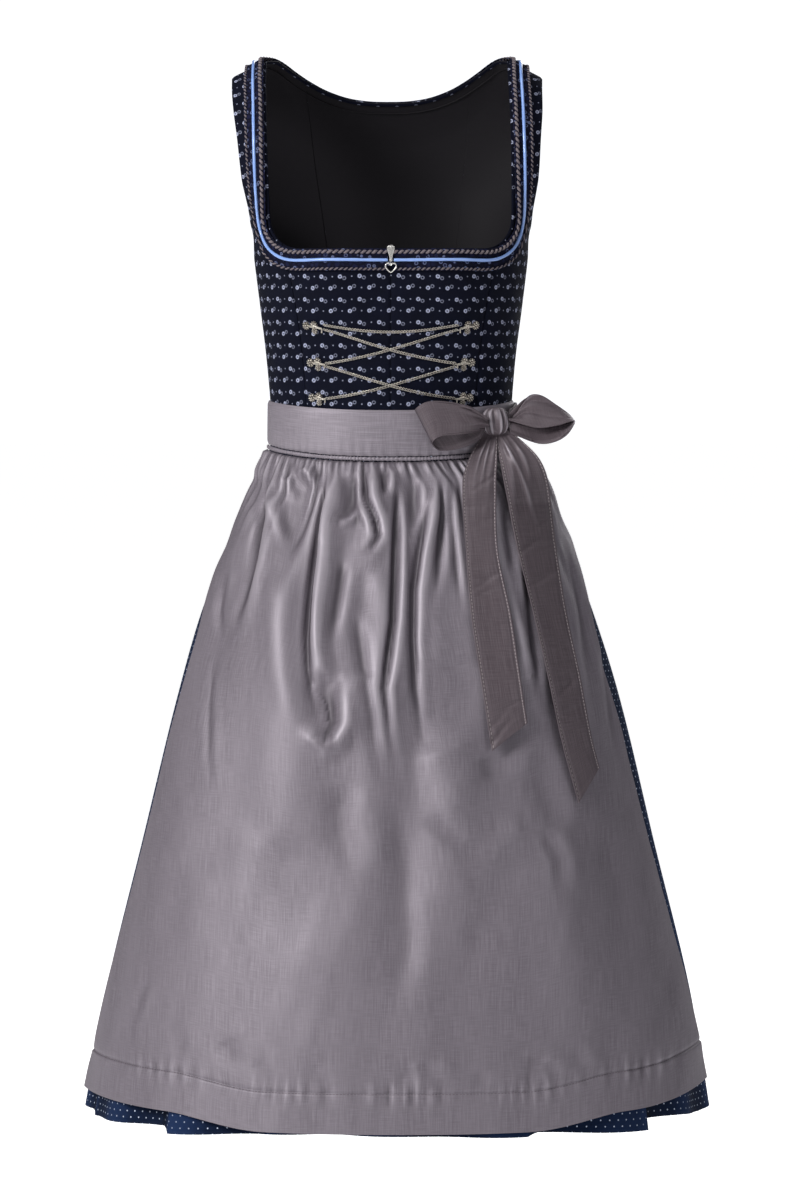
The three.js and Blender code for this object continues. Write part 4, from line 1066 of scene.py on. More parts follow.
def front_neck_x(rise):
    below = np.clip(NECK_LOW + NECK_CORNER - rise, 0, NECK_CORNER)
    return NECK_HALF - NECK_CORNER + np.sqrt(NECK_CORNER**2 - below**2)


def back_neck_rise(x):
    return BACK_NECK + (SHOULDER - BACK_NECK) * (np.abs(x) / NECK_HALF) ** 2.6


def back_neck_x(rise):
    share = np.clip((rise - BACK_NECK) / (SHOULDER - BACK_NECK), 0, 1)
    return NECK_HALF * share ** (1 / 2.6)


def seam_roll(points, rolled):
    """How far the edges sink at the seams: one size each for left, right, foot and top."""
    across, up = np.moveaxis(measured(points), -1, 0)
    left, right, down = across - across[:, :1], across[:, -1:] - across, up[-1:] - up
    sink = 0 * up
    for distance, size in zip((left, right, up, down), rolled):
        sink = sink + size * hump(distance, 1.7)
    return np.minimum(sink, 1.3)


def bodice_panel(name, angle, rise, rolled, start):
    """One panel of print, lined in black, with a little ease. start: where its print is measured from."""
    base = on_torso(angle, rise, 0)
    along = seam_roll(base, rolled)
    ease = 0.25 * row_noise(len(name), angle * 120, rise, 9, 17) * smooth(0, 25, rise)
    points = on_torso(angle, rise, ease - along)
    sew(name, points, [print_cotton, lining_cloth], PANEL_WALL, "print_cotton", [name.replace("cloth", "bodice")],
        "draped", ["waist_tie"], flat=torso_measure(angle, rise, start), inside=True)


def lining(name, node, points, outer):
    """The part of a panel's lining that shows, inside its outer cloth."""
    sew(name, points, [lining_cloth], LINING_WALL, "lining", [node], "draped", [outer])


def make_bodice():
    for side, sign in (("right", -1), ("left", 1)):
        u, v = np.meshgrid(edged(34, 95), edged(62, 205))
        top = front_neck_rise(mix(0, FRONT_SEAM_TOP_X, u))
        rise = mix(0.15, top, v)
        seam_top = float(front_neck_rise(FRONT_SEAM_TOP_X))
        x = mix(0.15, princess_front(np.minimum(rise, seam_top)) - 0.15, u)
        angle = angle_of(sign * x, rise)
        if sign < 0:
            angle, rise = angle[:, ::-1], rise[:, ::-1]
        bodice_panel("cloth_front_" + side, angle, rise, (1, 1, 0.7, 0.4), 0.0)
        for behind in (False, True):
            seam_x, princess = (BACK_SEAM_TOP_X, princess_back) if behind else (FRONT_SEAM_TOP_X, princess_front)
            neck_rise, neck_x = (back_neck_rise, back_neck_x) if behind else (front_neck_rise, front_neck_x)
            u, v = np.meshgrid(edged(26, 60), edged(96, 430))
            rise = mix(0.15, STRAP_END, v)
            inner = np.where(rise < float(neck_rise(seam_x)), princess(rise) + 0.15, neck_x(rise))
            edge = np.minimum(angle_of(armhole[behind](rise), rise), SIDE_SEAM)
            far = np.where(rise < UNDERARM, SIDE_SEAM, edge)
            quarter = mix(angle_of(inner, rise), far, u)
            angle = sign * (math.pi - quarter if behind else quarter)
            if (sign < 0) != behind:
                angle = angle[:, ::-1]
            name = f"cloth_side_{'back' if behind else 'front'}_{side}"
            bodice_panel(name, angle, rise, (0.9, 0.9, 0.7, 0.5), sign * math.pi if behind else 0.0)
            if behind:
                keep = np.flatnonzero(rise[:, 0] > LINING_FOOT)
                lined = on_torso(angle[keep], rise[keep], -1.6)
                lining("lining_cloth_side_" + side, "lining_side_back_" + side, lined, name)


def make_back():
    u, v = np.meshgrid(edged(56, 160), edged(84, 370))
    across = 1 - 2 * u
    rise = mix(0.15, back_neck_rise(across * BACK_SEAM_TOP_X), v)
    x = across * (princess_back(rise) - 0.15)
    angle = angle_of(x, rise, behind=True)
    bodice_panel("cloth_back", angle, rise, (0.9, 0.9, 0.7, 0.4), math.pi)
    keep = np.flatnonzero(v[:, 0] > 0.3)
    wide = angle_of(across * (princess_back(rise) + 7), rise, behind=True)
    lining("lining_cloth_back", "lining_back", on_torso(wide[keep], rise[keep], -1.3), "cloth_back")


# %% seam tapes
def seam_tape(name, places, rises, panels):
    """A narrow tape inside, along the seam of two panels. places gives an angle on either side of it."""
    rise = np.broadcast_to(rises[:, None], (len(rises), 5))
    before, after = places(rises)
    angle = mix(before[:, None], after[:, None], np.linspace(0, 1, 5)[None, :])
    points = on_torso(angle, rise, -2.7)
    sew("lining_tape_" + name, points, [lining_cloth], TAPE_WALL, "lining", [], "draped", panels)


def beside(x_at, sign, behind=False):
    """The angles 6.5 mm to either side of a seam, at each height."""
    turned = -1 if behind else 1
    return lambda rise: [angle_of(sign * x_at(rise) + side * turned * 6.5, rise, behind) for side in (-1, 1)]


make_bodice()
make_back()
seam_rises = np.linspace(0.6, UNDERARM - 1.5, 40)
seam_tape("centre_front", beside(lambda rise: 0 * rise, 1), np.linspace(0.6, NECK_LOW - 4, 40),
          ["cloth_front_right", "cloth_front_left"])
for side, sign in (("right", -1), ("left", 1)):
    front_rises = np.linspace(0.6, float(front_neck_rise(FRONT_SEAM_TOP_X)) - 5, 40)
    seam_tape("front_" + side, beside(princess_front, sign), front_rises,
              ["cloth_front_" + side, "cloth_side_front_" + side])
    seam_tape("back_" + side, beside(princess_back, sign, True), np.linspace(0.6, 112, 24),
              ["cloth_back", "cloth_side_back_" + side])
    seam_tape("side_" + side, lambda rise: [sign * SIDE_SEAM + turn + 0 * rise for turn in (-0.047, 0.047)],
              seam_rises, ["cloth_side_front_" + side, "cloth_side_back_" + side])

# %% [markdown]
# ## Trims round the neckline
# Four strips follow the neck edge, from the closing line over the shoulder and round the back.
# From the edge outwards: a twisted braid, a ruched band with a satin piping along its middle, and a finer
# braid. A curve with a bevel could make them, but it would cut into the cloth at the corners. Here lines
# are walked over the bodice's own surface, so each strip keeps its distance from the edge.

# %% the neck edge
TRIM_END, TRIM_LIFT = 3.1, 1.9


def neck_places(sign):
    """Places on the edge, as angle and height, from centre front to centre back."""
    front = [(x, NECK_LOW) for x in (TRIM_END, 24, 46, 68, NECK_HALF - NECK_CORNER)]
    for turn in np.radians([18, 36, 54, 72, 90]):
        x = NECK_HALF - NECK_CORNER * (1 - math.sin(turn))
        front.append((x, NECK_LOW + NECK_CORNER * (1 - math.cos(turn))))
    heights = (248, 272, 296, 320, 344, 364, 382, 397, 410, 420, SHOULDER - 0.3)
    front += [(NECK_HALF, rise) for rise in heights]
    behind = [(x, float(back_neck_rise(x))) for x in (118, 111, 102, 91, 78, 62, 42, 22, 0)]
    places = [(float(angle_of(sign * x, rise)), rise) for x, rise in front]
    return np.array(places + [(float(angle_of(sign * x, rise, True)), rise) for x, rise in behind])


def torso_slopes(angle, rise):
    low = np.clip(rise, 0.6, SHOULDER - 0.6)
    round_ = (torso(angle + 0.004, low) - torso(angle - 0.004, low)) / 0.008
    up = torso(angle, low + 0.5) - torso(angle, low - 0.5)
    return round_, up


def walk(places, heading, distance):
    """Moves places over the torso in a heading, by a distance in mm."""
    angle, rise = places[:, 0].copy(), places[:, 1].copy()
    for k in range(6):
        round_, up = torso_slopes(angle, rise)
        aa, ar, rr = ((p * q).sum(-1) for p, q in ((round_, round_), (round_, up), (up, up)))
        ad, rd = (round_ * heading).sum(-1), (up * heading).sum(-1)
        size = aa * rr - ar * ar
        step_a, step_r = (rr * ad - ar * rd) / size, (aa * rd - ar * ad) / size
        length = np.linalg.norm(round_ * step_a[:, None] + up * step_r[:, None], axis=-1)
        angle = angle + step_a * distance / 6 / length
        rise = np.minimum(rise + step_r * distance / 6 / length, SHOULDER - 0.3)
    return angle, rise


def torso_normal(angle, rise):
    round_, up = torso_slopes(angle, rise)
    return unit(np.cross(round_, up))


def neck_half(sign):
    """One side's places on the edge, and the heading away from the edge at each."""
    places = neck_places(sign)
    points = on_torso(places[:, 0], places[:, 1], 0)
    before, after = np.vstack([points[:1], points[:-1]]), np.vstack([points[1:], points[-1:]])
    away = unit(np.cross(unit(after - before), torso_normal(places[:, 0], places[:, 1]))) * sign
    away[0] = (0, 0, -1)
    return places, away


def through(keys, values):
    """A smooth line through rows of values."""
    columns = [curve(np.column_stack([keys, values[:, k]]), 1) for k in range(values.shape[1])]
    return lambda at: np.stack([column(at) for column in columns], axis=-1)


left_places, left_away = neck_half(1)
right_places, right_away = neck_half(-1)
edge_places = np.vstack([left_places, right_places[-2::-1]])
edge_away = np.vstack([left_away, right_away[-2::-1]])
edge_points = on_torso(edge_places[:, 0], edge_places[:, 1], 0)
edge_length = np.concatenate([[0], np.cumsum(np.linalg.norm(np.diff(edge_points, axis=0), axis=1))])
TRIM_LENGTH = float(edge_length[-1])


def beside_edge(distance):
    """Lines along the trims at a distance from the edge: places on the cloth, and its normal there."""
    angle, rise = walk(edge_places, edge_away, distance)
    base = on_torso(angle, rise, 0)
    return through(edge_length, base), through(edge_length, torso_normal(angle, rise))


print("trim length", round(TRIM_LENGTH), "mm")

# %% ruched band
def trim_band():
    stations = np.linspace(0, TRIM_LENGTH, 1500)
    distances = [1.2, 1.8, 3, 5, 6.6, 7.4, 8.3, 9.3, 10.6, 12.8, 14, 15.2, 16.6, 18, 19.4, 21, 21.8, 22.2]
    distances, rows = np.array(distances), []
    for distance in distances:
        base, normal = beside_edge(distance)
        slant = stations + 1.15 * distance + 0.9 * np.sin(stations / 13 + distance / 7)
        inner = smooth(6, 7.2, distance) * smooth(10.4, 9.2, distance)
        outer = smooth(13.4, 14.6, distance) * smooth(18.8, 17.4, distance)
        ridge = (0.5 * inner + 0.32 * outer) * np.sin(2 * math.pi * slant / 3.2)
        ridge = ridge * (0.75 + 0.25 * np.sin(stations / 5.3 + distance))
        edge = -0.5 * (smooth(2.2, 1.2, distance) + smooth(21.2, 22.2, distance))
        height = TRIM_LIFT + 0.75 + ridge + edge
        rows.append(base(stations) + unit(normal(stations)) * height[:, None])
    flat = np.stack(np.broadcast_arrays(stations[None, :], distances[:, None]), axis=-1)
    sew("neck_band", np.array(rows), [trim_cloth], 0.55, "trim_band", ["trim_band"], "draped",
        ["cloth_front_left"], flat=flat)


def strand_line(distance, lift, stations, turns, wide, high, phase):
    """A line that twists round the middle of a braid."""
    inner, normal = beside_edge(distance)
    outer = beside_edge(distance + 0.5)[0]
    middle, out = inner(stations), unit(normal(stations))
    across = unit(outer(stations) - middle)
    turn = 2 * math.pi * stations / turns + phase
    return middle + out * (lift + high * np.sin(turn))[:, None] + across * (wide * np.cos(turn))[:, None], out


def braid(name, distance, lift, count, turns, wide, high, radius, strands=2):
    stations = np.linspace(0, TRIM_LENGTH, count)
    parts = []
    for k in range(strands):
        line, out = strand_line(distance, lift, stations, turns, wide, high, 2 * math.pi * k / strands)
        parts.append(tube(f"{name}_{k}", line, radius[k], [dark_yarn if k else braid_yarn], sides=6, up=out))
    whole = joined(name, parts)
    settle(whole, "braid", name.replace("neck", "trim"))


trim_band()
braid("neck_inner_braid", 4.3, 3.9, 1500, 5.4, 0.75, 0.5, (1.4, 0.8))
braid("neck_outer_braid", 20.4, 3.7, 1500, 4.6, 0.65, 0.45, (0.85, 0.7))

# %% piping
piping_stations = np.linspace(0, TRIM_LENGTH, 640)
piping_base, piping_normal = beside_edge(11.8)
piping_out = unit(piping_normal(piping_stations))
piping_line = piping_base(piping_stations) + piping_out * 4.0
piping_radius = 1.6 + 0.08 * np.sin(piping_stations / 3.1 + 2 * np.sin(piping_stations / 17))
piping = tube("neck_piping", piping_line, piping_radius, [piping_satin], sides=10, up=piping_out)
settle(piping, "piping", "trim_piping")

# %% facing and stitched ridge inside the neck
def neck_facing():
    stations, distances = np.linspace(0, TRIM_LENGTH, 420), np.array([3.4, 2.6, 1.6, 0.8, 0.2])
    rows = []
    for distance in distances:
        base, normal = beside_edge(distance)
        rows.append(base(stations) - unit(normal(stations)) * 2.5)
    flat = np.stack(np.broadcast_arrays(stations[None, :], distances[:, None]), axis=-1)
    strip = laid("neck_facing", np.array(rows), [print_cotton], flat)
    thicken(strip, 0.5)
    settle(strip, "print_cotton")


neck_facing()
ridge_base, ridge_normal = beside_edge(12.0)
ridge_at = np.linspace(0, TRIM_LENGTH, 500)
ridge_at = ridge_at[ridge_base(ridge_at)[:, 1] > 12]
ridge_line = ridge_base(ridge_at) - unit(ridge_normal(ridge_at)) * 2.7
ridge = tube("neck_seam_ridge", ridge_line, 0.8, [lining_cloth], sides=6, up=unit(ridge_normal(ridge_at)))
settle(ridge, "lining")

# %% [markdown]
# ## Silver hooks and lacing chain
# Each hook has three flowers on a short plate and a tongue that holds the chain off the cloth.
# Small shapes are added to one mesh a hook, since a cast piece has no joints. The chain copies one link.

# %% hooks
EYE_LIFT = 4.6  # the tongue holds the chain this far off the cloth
BELOW_HOOK = 2.0  # the eye and the chain lie this far below the middle of the outer flower
# Level, height above the waist seam, and how far out the outer flower, the inner flower and the eye are.
HOOKS = [("upper", 119, 83.5, 74.5, 64), ("middle", 82, 79.5, 71.5, 62), ("lower", 47, 78, 70.5, 61.5)]


def fitted(bm, made, place, size):
    """Moves new vertices to a place in mm, scaled to a size in mm."""
    bmesh.ops.scale(bm, vec=Vector(size) * MM, verts=made["verts"])
    bmesh.ops.translate(bm, vec=Vector(place) * MM, verts=made["verts"])
    return made["verts"]


def ball(bm, place, size, segments=10, rings=7):
    fitted(bm, bmesh.ops.create_uvsphere(bm, u_segments=segments, v_segments=rings, radius=1.0), place, size)


def block(bm, place, size, soft):
    """A box with softened edges."""
    made = fitted(bm, bmesh.ops.create_cube(bm, size=1.0), place, size)
    edges = list({edge for vert in made for edge in vert.link_edges})
    bmesh.ops.bevel(bm, geom=edges, offset=soft * MM, offset_type="OFFSET", segments=3, profile=0.5,
                    affect="EDGES", material=-1, clamp_overlap=True)


def flower(bm, x, y, radius, turned):
    """Six petals round a bead, on a small dish with a milled rim."""
    dish = bmesh.ops.create_cone(bm, cap_ends=True, segments=20, radius1=radius * 0.95 * MM,
                                 radius2=radius * 0.72 * MM, depth=0.9 * MM)["verts"]
    bmesh.ops.translate(bm, vec=Vector((x, y, 0.75)) * MM, verts=dish)
    # The dish takes the darker silver, so it shows dark between the petals.
    for face in {face for vert in dish for face in vert.link_faces}:
        face.material_index = 1
    ball(bm, (x, y, 1.8), (radius * 0.24, radius * 0.24, 0.75), 8, 6)
    petals = (6, radius * 0.64, 1.45, (radius * 0.26, radius * 0.26, 0.72), (8, 6))
    milling = (12, radius, 0.85, (0.5, 0.5, 0.5), (6, 4))
    for count, far, high, size, faces in (petals, milling):
        for k in range(count):
            turn = turned + 2 * math.pi * k / count
            ball(bm, (x + far * math.cos(turn), y + far * math.sin(turn), high), size, *faces)


def add_line(bm, line, radii, up=(0, 0, 1), **shape):
    """Adds a wire along a line of points to the mesh in hand."""
    part = tube("part", line, radii, [], up=up, **shape)
    bm.from_mesh(part.data)
    bpy.data.objects.remove(part)


def wire_ring(bm, radius, thick, matrix):
    """A closed ring round the middle, turned by a matrix."""
    turn = np.linspace(0, 2 * math.pi, 20, endpoint=False)
    line = np.stack([radius * np.cos(turn), radius * np.sin(turn), 0 * turn], axis=-1)
    start = len(bm.verts)
    add_line(bm, line, thick, sides=6, closed=True)
    bm.verts.ensure_lookup_table()
    made = bm.verts[start:]
    bmesh.ops.transform(bm, matrix=matrix, verts=made)


def cloth_frame(x, rise):
    """A frame on the cloth: X towards the closing line, Z off the cloth."""
    angle = float(angle_of(x, rise))
    normal = Vector(torso_normal(np.array([angle]), np.array([float(rise)]))[0])
    inward = Vector((-math.copysign(1, x), 0, 0))
    inward = (inward - normal * inward.dot(normal)).normalized()
    made = Matrix((inward, normal.cross(inward), normal)).transposed().to_4x4()
    made.translation = Vector(on_torso(angle, rise, 0.3)) * MM
    return made


def make_hook(side, sign, level, rise, outer, inner, eye):
    """Three flowers, a plate and stem between them, and an upturned tongue with a bar for the chain."""
    up = -sign
    place = cloth_frame(sign * outer, rise)
    eye_point = on_torso(angle_of(sign * eye, rise - BELOW_HOOK), rise - BELOW_HOOK, 0)
    reach = float(np.linalg.norm(eye_point - np.array(place.translation) / MM))
    span = outer - inner
    bm = bmesh.new()
    flower(bm, 0, 0, 3.9, 0.2)
    flower(bm, span, 1.6 * up, 3.7, 0.7)
    flower(bm, span + 0.8, -4.4 * up, 2.9, 0.4)
    block(bm, ((reach - 4) / 2, -0.6 * up, 0.65), (reach - 4, 1.9, 0.7), 0.25)
    t = np.linspace(0, 1, 15)
    sweep = span * 0.5 + (reach - 6 - span * 0.5) * t
    stem = np.stack([sweep, up * (1.6 * np.sin(math.pi * t) - 0.6), 1.0 + 0.5 * np.sin(math.pi * t)], axis=-1)
    add_line(bm, stem, mix(1.1, 0.75, t))
    a, b, c = np.array([[reach - 6.4, -0.6 * up, 1.0], [reach - 2, -up, 1.2], [reach - 1.2, -1.6 * up, EYE_LIFT]])
    arm = a * ((1 - t) ** 2)[:, None] + b * (2 * t * (1 - t))[:, None] + c * (t * t)[:, None]
    add_line(bm, arm, mix(0.85, 0.6, t))
    block(bm, (reach - 1.2, -1.6 * up, EYE_LIFT), (1.2, 4.8, 0.85), 0.3)
    ball(bm, (reach - 5.6, -0.6 * up, 1.3), (1.3, 1.3, 0.9), 10, 6)
    bmesh.ops.transform(bm, matrix=place, verts=bm.verts)
    node = f"hook_{level}_{side}"
    settle(finish_mesh(bm, "silver_" + node, [silver, dark_silver]), "silver_metal", node)


for side, sign in (("right", -1), ("left", 1)):
    for row in HOOKS:
        make_hook(side, sign, *row)

# %% chain
LINK_PITCH, PAST_EYE = 2.9, 1.6  # links are this far apart, and the chain ends this far behind the eye
# Name, the two hooks (side and row), the sag at mid span and the lift there over a span it crosses.
SPANS = [
    ("chain_top", (-1, 0), (1, 0), 4.5, 0),
    ("chain_upper_falling", (-1, 0), (1, 1), 3, 3),
    ("chain_upper_rising", (-1, 1), (1, 0), 3, 0),
    ("chain_lower_falling", (-1, 1), (1, 2), 3, 3),
    ("chain_lower_rising", (-1, 2), (1, 1), 3, 0),
]


def chain_line(start, end, sag, over, steps):
    """Places along one span and the cloth's normal there. Spans that share an eye part a little at it."""
    first, last = HOOKS[start[1]], HOOKS[end[1]]
    fall = np.sign(first[1] - last[1])
    t = np.linspace(0, 1, steps)
    x = mix(start[0] * (first[4] + PAST_EYE), end[0] * (last[4] + PAST_EYE), t)
    hang = 4 * t * (1 - t)
    apart = 3.0 + 0 * t if fall == 0 else -fall * 1.5 * (1 - 2 * t)
    rise = mix(first[1], last[1], t) - BELOW_HOOK - sag * hang + apart * (1 - hang)
    lift = 1.8 + over * hang**3 + 1.6 * (1 - hang) ** 3
    return on_torso(angle_of(x, rise), rise, lift), torso_normal(angle_of(x, rise), rise)


def link_mesh():
    """The mesh of one oval link, 4 mm long and slightly twisted."""
    turn = np.linspace(0, 2 * math.pi, 12, endpoint=False)
    line = np.stack([1.95 * np.cos(turn), np.sin(turn), 0.3 * np.sin(2 * turn)], axis=-1)
    part = tube("link", line, 0.38, [silver], sides=6, closed=True, up=(0, 0, 1))
    mesh = part.data
    bpy.data.objects.remove(part)
    return mesh


def make_chain(name, start, end, sag, over, link):
    line, normal = chain_line(start, end, sag, over, 400)
    length = np.concatenate([[0], np.cumsum(np.linalg.norm(np.diff(line, axis=0), axis=1))])
    count = int(round(length[-1] / LINK_PITCH))
    at = (np.arange(count) + 0.5) * length[-1] / count
    middle = np.stack([np.interp(at, length, line[:, k]) for k in range(3)], axis=-1)
    out = np.stack([np.interp(at, length, normal[:, k]) for k in range(3)], axis=-1)
    along = unit(np.gradient(middle, axis=0))
    bm = bmesh.new()
    for k in range(count):
        x, z = Vector(along[k]), Vector(out[k])
        z = (z - x * z.dot(x)).normalized()
        basis = Matrix((x, z.cross(x), z)).transposed().to_4x4()
        roll = Matrix.Rotation(math.radians(-26), 4, "Z") @ Matrix.Rotation(math.radians(34), 4, "X")
        first = len(bm.verts)
        bm.from_mesh(link)
        bm.verts.ensure_lookup_table()
        place = Matrix.Translation(Vector(middle[k]) * MM) @ basis @ roll
        bmesh.ops.transform(bm, matrix=place, verts=bm.verts[first:])
    settle(finish_mesh(bm, "silver_" + name, [silver]), "silver_metal", name)
    return count


link = link_mesh()
print("links:", [make_chain(*span, link) for span in SPANS])

# %% [markdown]
# ## Zip slider, pull tab and heart
# The pull tab swings on the slider's ring, and the wire heart swings on a ring at the tab's foot.
# They ride bodies of their own, so each is modelled about its own pin and moved there last.

# %% zip parts
PULL_LIFT, TAB_LENGTH = 5.9, 13.6
neck_centre = torso(np.array(0.0), np.array(float(NECK_LOW)))
pull_place = Vector((0, float(neck_centre[1]) - PULL_LIFT, float(neck_centre[2]) + 1)) * MM
heart_place = pull_place + Vector((0, 0, -TAB_LENGTH)) * MM
ON_EDGE = Matrix.Rotation(math.pi / 2, 4, "Y")

bm = bmesh.new()
block(bm, (0, 2.55, -2.4), (4.8, 1.5, 7.9), 0.5)
block(bm, (0, 1.75, -2.2), (2.0, 0.8, 3.4), 0.3)
wire_ring(bm, 1.8, 0.4, ON_EDGE)
bmesh.ops.translate(bm, vec=pull_place, verts=bm.verts)
settle(finish_mesh(bm, "silver_zip_slider", [bright_silver]), "silver_metal", "zip_slider")

# %% pull tab
# How far below its ring, and half the width there.
TAB = [
    (-0.7, 1.6), (-0.5, 3.2), (0.4, 3.62), (2.6, 3.6), (5.5, 2.75),
    (8.6, 1.75), (11.4, 1.25), (13.4, 1.25), (14.1, 0.7),
]
tab_half = curve(TAB, 1)
t = np.linspace(-0.7, 14.1, 60)
side = np.linspace(-1, 1, 22)
half = tab_half(t)
x = half[::-1, None] * side[None, :]
thick = 0.55 * (1 - 0.35 * side[None, :] ** 4) * smooth(0, 0.8, t[::-1, None] + 0.7) ** 0.5
z = np.broadcast_to(-t[::-1, None], x.shape)
faces = [laid("tab_part", np.stack([x * s, s * thick * -1 + 0 * x, z], axis=-1), [bright_silver]) for s in (1, -1)]
pull = joined("silver_zip_pull", faces)
bm = bmesh.new()
bm.from_mesh(pull.data)
bmesh.ops.remove_doubles(bm, verts=bm.verts, dist=1e-7)
rim = [edge for edge in bm.edges if edge.is_boundary]
bmesh.ops.bridge_loops(bm, edges=rim)
bmesh.ops.recalc_face_normals(bm, faces=bm.faces)
bmesh.ops.translate(bm, vec=pull_place, verts=bm.verts)
bm.to_mesh(pull.data)
bm.free()
for face in pull.data.polygons:
    face.use_smooth = True
settle(pull, "silver_metal", "zip_pull", body="pull")

# %% wire heart
bm = bmesh.new()
wire_ring(bm, 1.5, 0.35, ON_EDGE)
HEART = [(0, -4.7), (1.1, -3.3), (2.9, -2.6), (4.7, -3.5), (5.3, -5.6), (4.0, -8.0), (2.0, -10.1), (0, -11.6)]
heart_right = through(np.arange(len(HEART), dtype=float), np.array(HEART, float))(np.linspace(0, 7, 40))
heart_line = np.vstack([heart_right, (heart_right * (-1, 1))[-2:0:-1]])
heart_line = np.stack([heart_line[:, 0], 0 * heart_line[:, 0], heart_line[:, 1]], axis=-1)
add_line(bm, heart_line, 0.68, sides=10, closed=True, up=(0, 1, 0))
add_line(bm, np.array([[0, 0, -1.4], [0, 0, -3.2], [0, 0, -4.9]]), 0.42, up=(1, 0, 0))
bmesh.ops.translate(bm, vec=heart_place, verts=bm.verts)
settle(finish_mesh(bm, "silver_heart", [bright_silver]), "silver_metal", "heart_charm", body="heart")

# %% [markdown]
# ## Waistband, gather cord and tie
# The band is a folded strip of the apron's satin. A ruched cord covers its lower seam.
# The tie goes round the back and comes forward over the band to the bow. All of them lie close round the
# waist, so they are columns of one oval, a few millimetres out from it, with small rolls at their edges.

# %% waistband
def waist_column(angle, drop, out):
    x, y = section(angle, 122 + out, 93.5 + out, 92.5 + out)
    return np.stack([x, y, WAIST - drop + 0 * angle], axis=-1)


GIRTH = 2.0  # millimetres of waistband to a degree
TIE_WIDTH, RIBBON_WIDTH = 38, 36


def strip_flat(angle, v, height):
    return np.stack([np.degrees(angle) * GIRTH, v * height], axis=-1)


def hems(place, width, sharp):
    """1 on the two long edges of a strip, from its place across."""
    return hump(place * width, sharp) + hump((1 - place) * width, sharp)


def waistband():
    u, v = np.meshgrid(edged(230, 330), edged(20, 50))
    angle = np.radians(mix(-89.5, 88, u))
    front = np.maximum(np.cos(angle), 0) ** 1.5
    foot = flare_start(angle)
    top = mix(-43.5, -35, front)
    drop = mix(foot, top, v)
    girth = np.degrees(angle) * GIRTH
    roll = 1.2 * (hump(foot - drop, 2.2) + hump(drop - top, 2.2))
    swell = 0.5 * np.sin(math.pi * v) + 0.55 * row_noise(21, girth, drop * 2.2, 34, 22)
    gathers = 0.5 * np.sin(girth / 1.5 + 2 * np.sin(girth / 19)) * np.exp(-((foot - drop) / 9))
    drag = 0.8 * hump(v - 0.55 - 0.12 * np.sin(girth / 40), 0.07) * smooth(60, 150, girth)
    points = waist_column(angle, drop, 2.8 + swell + gathers - roll - drag)
    threads = strip_flat(angle, v, 52)[..., ::-1]
    sew("apron_band", points, [satin], RIBBON_WALL, "satin_taffeta", ["apron_waistband"], "stretched",
        ["cloth_front_left"], flat=threads)


def gather_cord():
    angle = np.radians(np.linspace(-87, 87, 860))
    drop = flare_start(angle) + 0.3 + 2.3
    line = waist_column(angle, drop, 2.5)
    girth = np.degrees(angle) * 2.05
    beads = np.sin(girth / 0.52 + 1.3 * np.sin(girth / 5.1) + 0.8 * np.sin(girth / 1.9))
    radius = 2.0 + 0.26 * beads + 0.1 * np.sin(girth / 8)
    out = waist_column(angle, drop, 12.0) - line
    rings = rings_along(line, radius, sides=10, up=out, flat=0.72)
    cord = close_seams(laid("apron_gather_cord_ruched", rings, [satin]))
    settle(cord, "satin_taffeta", "apron_gather_cord")


def waist_tie():
    u, v = np.meshgrid(edged(240, 560), edged(18, TIE_WIDTH))
    angle = np.radians(mix(66, 268.4, u))
    pinch = mix(0.7, 1, smooth(math.radians(66), math.radians(84), angle))
    over = mix(5, 1.4, smooth(math.radians(92), math.radians(104), angle))
    drop = -22.5 + pinch * mix(18.5, -18.5, v)
    girth = np.degrees(angle) * GIRTH
    near = smooth(math.radians(100), math.radians(68), angle)
    folds = 0.7 * near * np.sin(v * 15 + 0.8 * np.sin(girth / 12))
    soft = 0.6 * row_noise(33, girth, drop * 2, 30, 18)
    seam = 0.5 * (hump(v - 0.07, 0.02) + hump(v - 0.93, 0.02))
    points = waist_column(angle, drop, over + 1.2 + folds + soft - 0.8 * hems(v, TIE_WIDTH, 2) - seam)
    sew("apron_tie", points, [ribbon], RIBBON_WALL, "satin_taffeta", ["waist_tie"], "stretched",
        ["cloth_back", "apron_band"], flat=strip_flat(angle, v, TIE_WIDTH))


def waist_tape():
    """A stay inside the seam of bodice and skirt."""
    angle, drop = np.meshgrid(np.linspace(-math.pi, math.pi, 181), np.linspace(7, -7, 5))
    sew("lining_tape_waist", waist_column(angle, drop, -3.4), [lining_cloth], TAPE_WALL, "lining", [], "draped",
        ["cloth_back", "cloth_front_right", "cloth_front_left"])


waist_tape()
waistband()
gather_cord()
waist_tie()

# %% [markdown]
# ## The bow
# Two loops and two tails come out of a small wrapped knot at the wearer's left. A ribbon bends one way and
# hardly stretches, so each loop is a strip ruled between two edge lines, and each tail hangs between two.
# The knot is a small closed form with pleats, because only the outside of the wrapped ribbon shows.

# %% loops
RIGHT_LOOP = [
    ((93, -86, -357), (93, -86, -371)),
    ((76, -100, -347), (82, -98, -373)),
    ((52, -108, -342), (66, -106, -375)),
    ((34, -111, -343), (48, -111, -377)),
    ((24, -108, -350), (41, -109, -384)),
    ((30, -103, -350), (49, -102, -391)),
    ((52, -99, -349), (72, -96, -388)),
    ((78, -88, -353), (88, -86, -380)),
    ((92, -80, -358), (92, -80, -372)),
]
LEFT_LOOP = [
    ((117, -68, -356), (117, -82, -361)),
    ((136, -62, -337), (133, -84, -366)),
    ((150, -60, -336.5), (147, -84, -369)),
    ((166, -60, -347), (166, -82, -366)),
    ((180, -60, -358), (183, -78, -362)),
    ((170, -58, -354), (176, -80, -375)),
    ((155, -56, -352), (162, -82, -383)),
    ((140, -57, -354), (146, -82, -384)),
    ((117, -66, -362), (119, -80, -374)),
]


